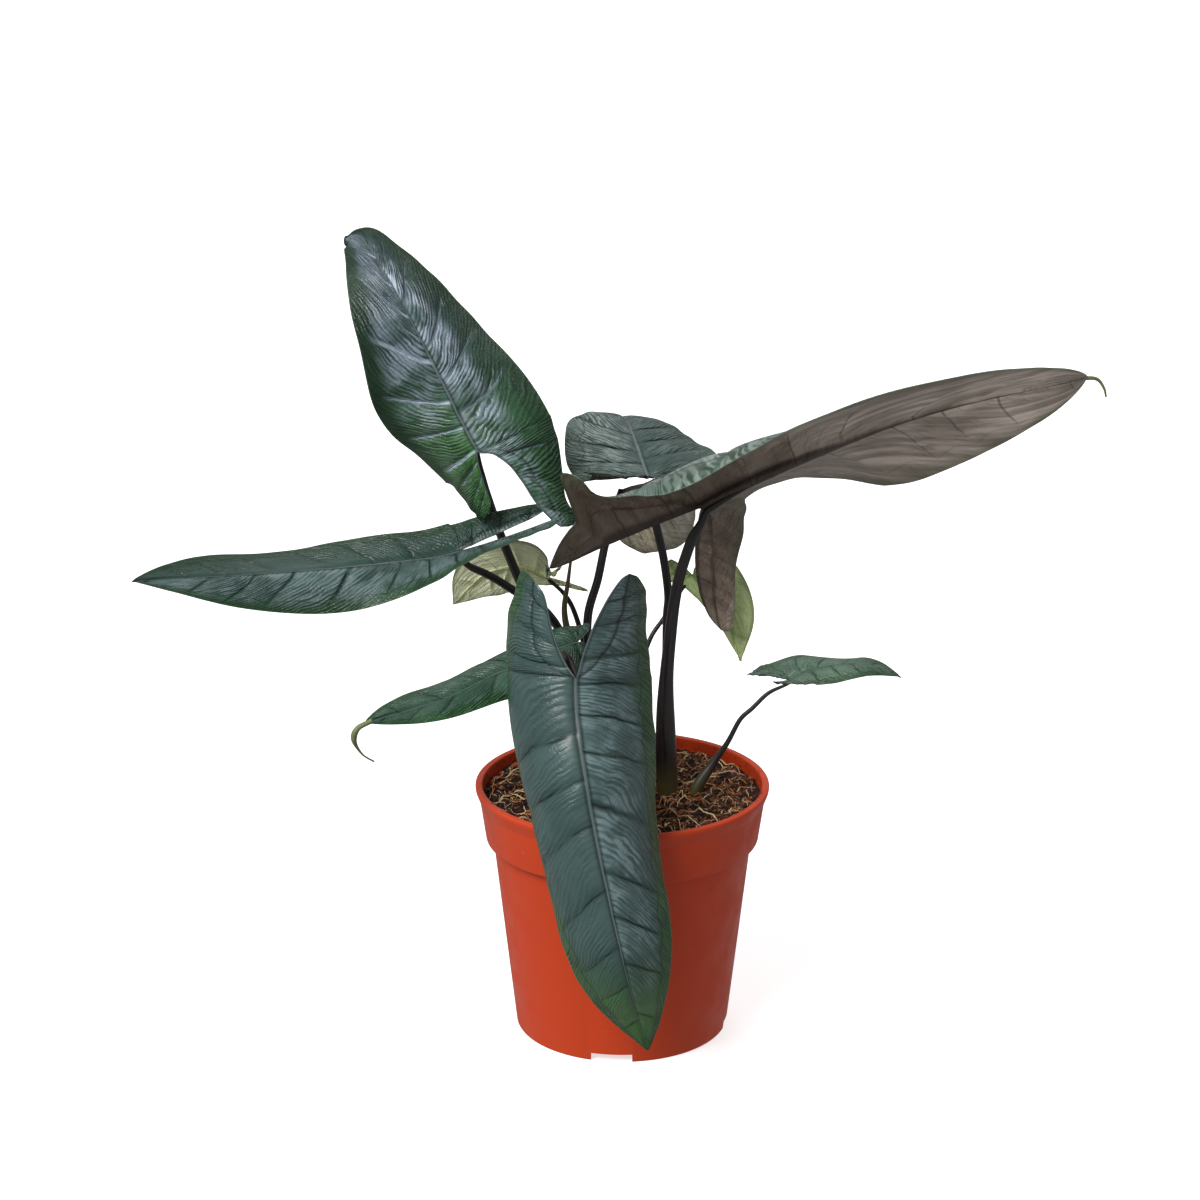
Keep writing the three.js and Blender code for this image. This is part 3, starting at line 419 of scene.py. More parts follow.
def leaf_underside(name, dark, light, vein, flush):
    """Underside of a leaf, with raised darker veins, faint streaks along the side veins and painted light on
    its ridges.
    """
    shade = LeafShading(name, Coat_Weight=0.03)
    along, out = shade.along, shade.out
    streaks = shade.noise(shade.join(shade.times(along, 4), shade.times(out, 2)), 1, 3, 0.6)
    shade.body = shade.mix(shade.step(streaks, 0.3, 0.7), dark, light)
    across = shade.scaled(out, -6, shade.times(along, 1.8))
    lengthwise = shade.scaled(out, 0.8, shade.times(along, 0.3))
    feathers = shade.step(shade.noise(shade.join(across, lengthwise), 1, 3, 0.6), 0.38, 0.64)
    # Painted light: lighter feathered bands across the ridges, growing towards the tip, as much as the point
    # attribute gives.
    ridge_highlight = shade.times(shade.attribute("under_light"), shade.scaled(feathers, 0.7, 0.3))
    shade.cover(ridge_highlight, (250, 234, 222))
    shade.cover(shade.patches(28, 3, 0.35, 0.7, 0, 0.6), flush)
    lines = shade.larger(shade.side, shade.times(shade.collecting, 0.3))
    lines = shade.larger(lines, shade.attribute("lobe_line"))
    shade.cover(shade.times(lines, 0.6), vein)
    shade.cover(shade.step(shade.fine, 0, 0.35, 0.22, 0), vein)
    # A dark band along the midrib, widest near the stalk: partly the rib's own dark tone, partly painted
    # shade along it.
    stout = shade.step(along, 0, 4, 0.13, 0.05)
    shade.cover(shade.step(shade.math("DIVIDE", out, stout), 0.4, 1, 0.85, 0), vein)
    shade.cover(shade.step(out, 0.8, 1, 0, 0.6), (84, 92, 64))
    height = shade.scaled(feathers, 1.2, shade.scaled(shade.fine, -0.4, lines))
    height = shade.scaled(shade.net, 0.15, height)
    return shade.finish(shade.patches(150, 3, 0.3, 0.7, 0.45, 0.6), height, 0.6, 0.0006)


def stalk_skin(name, dark, light, base):
    """A smooth leaf stalk with fine lengthwise streaks, and another colour where it leaves the soil."""
    shade = Shading(name, Coat_Weight=0.1, Coat_Roughness=0.3)
    around, along = shade.uv()
    streaks = shade.noise(shade.join(shade.times(around, 14), shade.times(along, 0.035)), 1, 4, 0.65)
    shade.body = shade.mix(shade.step(streaks, 0.42, 0.75), dark, light)
    ragged = shade.scaled(streaks, 14, along)
    shade.cover(shade.step(ragged, BURIED + 8, BURIED + 26, 0.85, 0), base)
    shade.cover(shade.times(shade.patches(700, 2, 0.62, 0.72), 0.25), light)
    return shade.finish(shade.step(streaks, 0.3, 0.7, 0.32, 0.5), streaks, 0.35, 0.0004)


def pot_plastic():
    """Terracotta-coloured moulded plastic with faint scuffs and dust, and specks of peat inside the rim."""
    shade = Shading("pot_plastic", Specular_IOR_Level=0.3)
    shade.body = shade.mix(shade.noise(shade.place, 18, 3, 0.55), (198, 62, 23), (206, 68, 27))
    shade.cover(shade.times(shade.patches(240, 5, 0.66, 0.74, roughness=0.7), 0.22), (224, 150, 120))
    shade.cover(shade.times(shade.patches(60, 5, 0.6, 0.8, roughness=0.7), 0.25), (96, 44, 28))
    x, y, z = shade.split(shade.place)
    away = shade.math("SQRT", shade.math("ADD", shade.math("POWER", x, 2), shade.math("POWER", y, 2)))
    slope = (COLLAR_TOP_RADIUS - COLLAR_LOW_RADIUS) / (POT_HEIGHT - RIM_DEPTH - COLLAR_LOW_Z)
    mid_wall = shade.scaled(z, slope, (COLLAR_LOW_RADIUS - COLLAR_LOW_Z * slope - WALL / 2) * MM)
    inner = shade.step(shade.math("SUBTRACT", away, mid_wall), -0.0002, 0.0002, 1, 0)
    inner = shade.times(inner, shade.step(z, 0.09, 0.1))
    shade.cover(shade.times(shade.patches(420, 3, 0.6, 0.66, roughness=0.7), inner), (52, 22, 14))
    grain = shade.noise(shade.place, 500, 3)
    return shade.finish(shade.patches(90, 4, 0.3, 0.7, 0.38, 0.55), grain, 0.12, 0.0003)


def peat():
    """Dark peat: patches of noise from nearly black to red-brown."""
    shade = Shading("peat")
    crumbs = shade.noise(shade.place, 260, 6, 0.7)
    shade.body = shade.ramp(crumbs, (0.34, (8, 4, 3)), (0.54, (38, 20, 11)), (0.72, (104, 64, 38)))
    return shade.finish(0.92, shade.noise(shade.place, 520, 6, 0.75), 1, 0.0012)


def coir():
    """Coir fibres and bits of straw, each with its own tone."""
    shade = Shading("coir")
    shade.body = shade.ramp(shade.attribute("tone"), (0, (24, 12, 7)), (0.35, (108, 54, 26)),
                            (0.7, (204, 128, 70)), (1, (255, 234, 184)))
    shade.cover(shade.patches(600, 3, 0.45, 0.7, 0, 0.3), (52, 24, 12))
    return shade.finish(0.8, shade.noise(shade.place, 1500, 2), 0.4, 0.0003)


# Blade outline of one half, flat: how far along the leaf (lobe tip -1, stalk 0, leaf tip 1) against
# the distance from the midrib as a share of the half width. The notch side closes at the lobe's tip.
TO_TIP = [[0.45, 0.87], [0.7, 0.6], [0.88, 0.27], [1, 0]]
LOBE = [[-0.72, 0.8], [-0.38, 0.9], [0, 0.98]]
MARGIN = LOBE + [[0.2, 1]] + TO_TIP
BLUNT = [[-1, 0.62], [-0.95, 0.79]] + LOBE + [
    [0.2, 1], [0.42, 0.88], [0.56, 0.8], [0.7, 0.61], [0.78, 0.5], [0.86, 0.41], [0.93, 0.33], [0.98, 0.22],
    [1, 0]]
BROAD = [[-1, 0.73], [-0.95, 0.9]] + LOBE + [
    [0.15, 0.99], [0.28, 0.95], [0.42, 0.91], [0.53, 0.83], [0.65, 0.7], [0.75, 0.58], [0.82, 0.45],
    [0.88, 0.37], [0.92, 0.27], [0.95, 0.14], [1, 0]]
STEEP = [[-1, 0.34], [-0.95, 0.38], [-0.72, 0.42], [-0.38, 0.44], [-0.15, 0.43], [0, 0.43], [0.1, 0.45],
         [0.2, 0.53], [0.45, 0.76], [0.7, 0.6], [0.88, 0.27], [1, 0]]
WAISTED = [[-1, 0.3], [-0.72, 0.35], [-0.38, 0.25], [-0.05, 0.2], [0.12, 0.7], [0.3, 1], [0.55, 0.95],
           [0.8, 0.6], [1, 0]]
DROOPING = [[-1, 0.3], [-0.72, 0.3], [-0.38, 0.25], [0, 0.3], [0.15, 0.55], [0.35, 0.8], [0.6, 0.8],
            [0.8, 0.45], [1, 0]]
HANGING = [[-1, 0.85], [-0.97, 0.93], [-0.87, 0.89], [-0.67, 0.8], [-0.5, 0.82], [-0.33, 0.93], [-0.22, 1],
           [-0.11, 1.1], [0.03, 1.08], [0.2, 1]] + TO_TIP
FLARED = [[-1, 0.2], [-0.97, 0.33], [-0.9, 0.46], [-0.79, 0.57], [-0.715, 0.66], [-0.705, 0.95],
          [-0.7, 1.26], [-0.65, 1.36], [-0.57, 1.38], [-0.5, 1.12], [-0.37, 0.92], [0, 0.98],
          [0.2, 1]] + TO_TIP
ROUND_LEFT = [[-1, 0.9], [-0.6, 0.8], [0, 0.98], [0.17, 1.04], [0.38, 0.97], [0.48, 0.86], [0.56, 0.64],
              [0.7, 0.46], [0.88, 0.25], [1, 0]]
ROUND_RIGHT = [[-1, 0.6], [-0.95, 0.77], [-0.72, 0.8], [-0.38, 0.9], [0, 1], [0.17, 1.02], [0.35, 0.9],
               [0.5, 0.78], [0.7, 0.56], [0.88, 0.27], [1, 0]]
LOBED = [[-1, 0.8], [-0.8, 1.7], [-0.5, 2], [-0.25, 1.8], [0, 1.2], [0.2, 1]] + TO_TIP
NOTCH = [[-0.93, 0.7], [-0.6, 0.42], [-0.22, 0.16], [0, 0]]
WIDE_NOTCH = [[-1, 0.6], [-0.93, 0.5], [-0.8, 0.39], [-0.67, 0.33], [-0.47, 0.29], [-0.29, 0.24],
              [-0.12, 0.15], [-0.04, 0.03], [0, 0]]
HANGING_NOTCH = [[-1, 0.85], [-0.98, 0.75], [-0.95, 0.67], [-0.89, 0.58], [-0.82, 0.51], [-0.69, 0.43],
                 [-0.5, 0.37], [-0.29, 0.33], [-0.12, 0.2], [0, 0]]


def outline_curve(rows):
    curve = smooth(rows, np.linspace(0, 1, 201))
    return np.clip(curve[:, 0], -1, 1), np.maximum(curve[:, 1], 0)


class Half:
    """One half of a blade: its flat outline, and how it is bent in space."""

    def __init__(self, leaf, side):
        k = 0 if side < 0 else 1
        spread = leaf["spread"][k]
        self.side = side
        self.width = leaf["half"][k]
        self.fold = np.radians(leaf["fold"][k])
        self.curl = np.radians(leaf["curl"][k])
        self.roll = np.radians(leaf["roll"])
        self.face = unit(np.array(leaf["face"], float))
        self.taper = leaf["taper"]
        lobed = [[-1, spread], [-0.95, min(spread + 0.17, 0.9)]] + MARGIN
        self.margin = outline_curve(leaf.get("margins", (None, None))[k] or lobed)
        self.flare_lean = leaf.get("flare_lean", (0, 0))[k]
        self.vein_lean = leaf.get("vein_lean", VEIN_LEAN)
        notched = [[-1, spread]] + [[s, w * spread] for s, w in NOTCH]
        self.notch = outline_curve(leaf.get("notches", (None, None))[k] or notched)
        self.set_axis(np.array(leaf["lobes"], float), np.array(leaf["midrib"], float), k)

    def set_axis(self, lobes, midrib, k):
        """The axis that the half is bent along: the lobe's own axis, then the midrib."""
        behind = lobes.mean(axis=0)
        fine = 48
        spans = len(midrib)
        at = np.arange(fine, fine * spans + 1) / (fine * spans)
        rib = smooth(np.vstack([behind, midrib]), at)
        joint = rib[0]
        bend = joint - unit(rib[1] - joint) * np.linalg.norm(joint - lobes[k]) / 2
        t = np.linspace(0, 1, 33)[:, None]
        lobe = lobes[k] * (1 - t) ** 2 + bend * 2 * t * (1 - t) + joint * t ** 2
        self.points = np.vstack([lobe[:-1], rib])
        self.distance = walked(self.points)
        self.lobe_length = self.distance[len(lobe) - 1]
        self.distance = self.distance - self.lobe_length
        self.length = self.distance[-1]
        self.tangents = tangents_along(self.points)

    def place(self, s, out):
        """Place in space of points of the flat half: s along the leaf, out mm from the axis."""
        along = np.where(s < 0, s * self.lobe_length, s * self.length)
        centre = columns_at(along, self.distance, self.points)
        tangent = unit(columns_at(along, self.distance, self.tangents))
        t = (np.where(s < 0, s, 2 * s) + 1) / 3
        roll = smooth(self.roll, t)[..., None]
        fold = smooth(self.fold, t)
        bend = smooth(self.curl, t) / self.width
        curl = np.where(np.abs(bend) < 1e-6, 1e-6, bend)
        across = unit(np.cross(tangent, self.face))
        up = np.cross(across, tangent)
        turned = across * np.cos(roll) + up * np.sin(roll)
        raised = up * np.cos(roll) - across * np.sin(roll)
        sideways = (np.sin(fold + curl * out) - np.sin(fold)) / curl
        rise = (np.cos(fold) - np.cos(fold + curl * out)) / curl
        return centre + turned * (self.side * sideways)[..., None] + raised * rise[..., None]

    def margin_at(self, s):
        plain = np.interp(s, *self.margin)
        return np.where(s > 0, plain ** self.taper, plain)

    def span_at(self, s):
        """Inner and outer edge at s, in mm from the axis, and where along the leaf the outer edge is."""
        inner = np.where(s < 0, np.interp(s, *self.notch) * self.width, 0.0)
        outer_s = s + self.vein_lean * np.sin(np.pi * s)
        outer = self.margin_at(outer_s) * self.width
        return inner, outer, outer_s

    def point_at(self, s, v):
        inner, outer, outer_s = self.span_at(s)
        out = inner + (outer - inner) * v
        lean = self.flare_lean * ease(0.7, 1.3, out / self.width)
        here = s + (outer_s - s) * v ** 1.3 - lean
        return self.place(here, out)


def vein_count(leaf, side, s):
    """How many side veins lie between the stalk and s, counted below nothing in the lobes. The veins of
    the two halves leave the midrib by turns and at uneven distances."""
    forward = leaf["veins"] * np.maximum(s, 0) ** (1 / 1.08)
    plain = np.where(s < 0, np.interp(s, *LOBE_VEINS), forward)
    by_turns = 0.42 * ease(0, 1.2, forward) if side < 0 else 0.0
    return plain + by_turns + 0.14 * np.sin(1.9 * plain + 2.1 * side)


def row_places(veins, per_panel):
    """Rows along the leaf, with as many between every two side veins."""
    t = np.arange(per_panel) / per_panel
    forward = [((i + t) / veins) ** 1.08 for i in range(veins)]
    stops, _ = LOBE_VEINS
    lobes = [a + (b - a) * t[::2] for a, b in zip(stops[:-1], stops[1:])]
    return np.concatenate(lobes + forward + [[1.0]])


def column_places(across):
    t = np.linspace(0, 1, across + 1)
    return np.expm1(1.2 * t) / np.expm1(1.2)


def lobe_vein(s):
    """Where the main vein of a lobe runs between the lobe's inner edge (0) and outer edge (1)."""
    return 0.42 * (1 - (1 + np.minimum(s, 0)) ** 4)


def round_ridge(distance, radius):
    return radius * np.sqrt(np.maximum(1 - (distance / radius) ** 2, 0))


def blade_relief(leaf, half, s, v):
    """How far the middle surface, the top and the underside are raised or lowered, in mm."""
    count = vein_count(leaf, half.side, s)
    part = count - np.floor(count)
    away = np.minimum(part, 1 - part)
    crown = 1 - np.abs(2 * part - 1) ** 2.6
    loop = COLLECTING_VEIN + 0.06 - 0.16 * away
    tail = 1 - np.maximum(s, 0)
    swell = np.sin(np.pi * v ** 0.8) * np.sqrt(np.clip(tail, 0, 1)) * (0.55 + 0.45 * ease(-1, 0, s))
    lift = PANEL_HEIGHT * leaf["quilt"] * (1.7 * crown - 1) * swell
    lift = lift + 0.3 * leaf["quilt"] * np.sin(2 * np.pi * count + 0.8) * v ** 4 * tail
    inside = 1 - ease(COLLECTING_VEIN - 0.05, COLLECTING_VEIN + 0.05, v)
    side = np.exp(-(away / SIDE_VEIN_WIDTH) ** 2) * inside * np.clip(swell, 0, 1) ** 0.5
    collecting = np.exp(-((v - loop) / COLLECTING_WIDTH) ** 2) * (0.3 + 0.7 * tail)
    inner, outer, _ = half.span_at(s)
    out = (outer - inner) * v
    rib_radius = np.maximum(MIDRIB_RADIUS * leaf["rib"] * (0.25 + 0.75 * tail ** 0.8), 0.3)
    to_rib = np.where(s >= 0, out, 99.0)
    to_lobe_vein = np.where(s < 0, np.abs(v - lobe_vein(s)) * (outer - inner), 99.0)
    lobe_radius = np.maximum(MIDRIB_RADIUS * leaf["rib"] * 0.75 * (1 + np.minimum(s, 0)) ** 0.7, 0.25)
    valley = RIB_GROOVE * np.exp(-(to_rib / (1.7 * rib_radius)) ** 2)
    valley = valley - 0.3 * round_ridge(to_rib, 0.6 * rib_radius)
    valley = valley + 0.4 * np.exp(-(to_lobe_vein / 1.4) ** 2)
    top = -SIDE_VEIN_GROOVE * side - COLLECTING_RIDGE * collecting - valley
    under = (SIDE_VEIN_RIDGE * side + COLLECTING_RIDGE * collecting + round_ridge(to_rib, rib_radius)
             + round_ridge(to_lobe_vein, lobe_radius))
    return lift, top, under


def vertex_normals(points, faces):
    corners = points[faces]
    crosses = np.cross(corners[:, 2] - corners[:, 0], corners[:, 3] - corners[:, 1])
    normals = np.zeros_like(points)
    for k in range(4):
        np.add.at(normals, faces[:, k], crosses)
    return unit(normals)


def weld(points):
    """One point for each place, and which one each of the given points became."""
    keys = np.round(points * 1e4).astype(np.int64)
    _, first, index = np.unique(keys, axis=0, return_index=True, return_inverse=True)
    return first, index.reshape(-1)


def tone_shares(leaf, half, s, v):
    """Shares of painted silver sheen, plain green, painted highlights along the side veins, painted light on
    the underside and main vein of the lobe at points of one half."""
    k = 0 if half.side < 0 else 1
    reach = leaf.get("sheen_reach", (0.8, 0.8))[k]
    silver = leaf.get("silver", (0.3, 0.3))[k] * (1 - ease(reach - 0.15, reach + 0.12, v))
    green = leaf.get("green", (0, 0))[k] * (1 - ease(-0.05, 0.34, s))
    green = np.maximum(green, leaf.get("green_tip", 0) * ease(0.62, 0.9, s + 0.12 * v))
    vein_glint = np.full_like(s, leaf.get("pale_veins", (0, 0))[k])
    under = leaf.get("under_light", (0, 0))[k] * ease(-0.1, 0.6, s)
    inner, outer, _ = half.span_at(s)
    to_lobe_vein = np.abs(v - lobe_vein(s)) * (outer - inner)
    lobe_line = np.where(s < 0, np.exp(-(to_lobe_vein / 0.7) ** 2), 0.0)
    shares = (silver * (1 - green), green, vein_glint, under, lobe_line)
    return np.stack([share.ravel() for share in shares])


def blade_mesh(leaf, per_panel, across):
    rows = row_places(leaf["veins"], per_panel)
    columns = column_places(across)
    s, v = np.meshgrid(rows, columns, indexing="ij")
    size = s.size
    points, lifts, tops, unders, uvs, faces, shares = [], [], [], [], [], [], []
    for side in (-1, 1):
        half = Half(leaf, side)
        points.append(half.point_at(s, v).reshape(-1, 3))
        lift, top, under = blade_relief(leaf, half, s, v)
        lifts.append(lift.ravel())
        tops.append(top.ravel())
        unders.append(under.ravel())
        uvs.append(np.stack([vein_count(leaf, side, s).ravel(), v.ravel()], axis=1))
        shares.append(tone_shares(leaf, half, s, v))
        quads = grid_faces(len(rows), len(columns), 0 if side < 0 else size)
        faces.append(quads if side > 0 else quads[:, ::-1])
    points, uvs, faces = np.vstack(points), np.vstack(uvs), np.vstack(faces)
    first, index = weld(points)
    welded = points[first]
    lift, top, under = (np.concatenate(values)[first] for values in (lifts, tops, unders))
    if leaf.get("turned"):
        lift, top, under = -lift, under, top
    thinning = BLADE_MIDDLE_THICKNESS - BLADE_EDGE_THICKNESS
    thickness = BLADE_MIDDLE_THICKNESS - thinning * uvs[first, 1] ** 3
    joined = index[faces]
    lifted = welded + vertex_normals(welded, joined) * lift[:, None]
    normals = vertex_normals(lifted, joined)
    top_points = lifted + normals * (thickness / 2 + top)[:, None]
    under_points = lifted - normals * (thickness / 2 + under)[:, None]
    names = ("silver", "green", "pale_veins", "under_light", "lobe_line")
    attributes = dict(zip(names, np.tile(np.hstack(shares)[:, first], 2)))
    return (*closed_blade(top_points, under_points, faces, joined, uvs, first), attributes)


def closed_blade(top_points, under_points, faces, joined, uvs, first):
    """The top, the underside turned over, and a rim between them."""
    count = len(top_points)
    polygons, corner_uvs, face_materials = [], [], []

    def add(corners, corner_uv, material):
        keep = [k for k in range(len(corners)) if corners[k] != corners[k - 1]]
        if len(set(corners)) < 3 or len(keep) < 3:
            return
        polygons.append([corners[k] for k in keep])
        corner_uvs.extend(corner_uv[k] for k in keep)
        face_materials.append(material)

    uv_list = uvs.tolist()
    for source, corners in zip(faces.tolist(), joined.tolist()):
        pairs = [uv_list[i] for i in source]
        add(corners, pairs, 0)
        add([c + count for c in corners[::-1]], pairs[::-1], 1)
    edges = {}
    for polygon, material in zip(polygons, face_materials):
        if material == 0:
            for k, corner in enumerate(polygon):
                edges[(polygon[k - 1], corner)] = True
    for a, b in edges:
        if (b, a) not in edges:
            rim = [b, a, a + count, b + count]
            ends = [uv_list[first[b]], uv_list[first[a]]]
            add(rim, [ends[0], ends[1], ends[1], ends[0]], 0)
    return np.vstack([top_points, under_points]), polygons, corner_uvs, face_materials


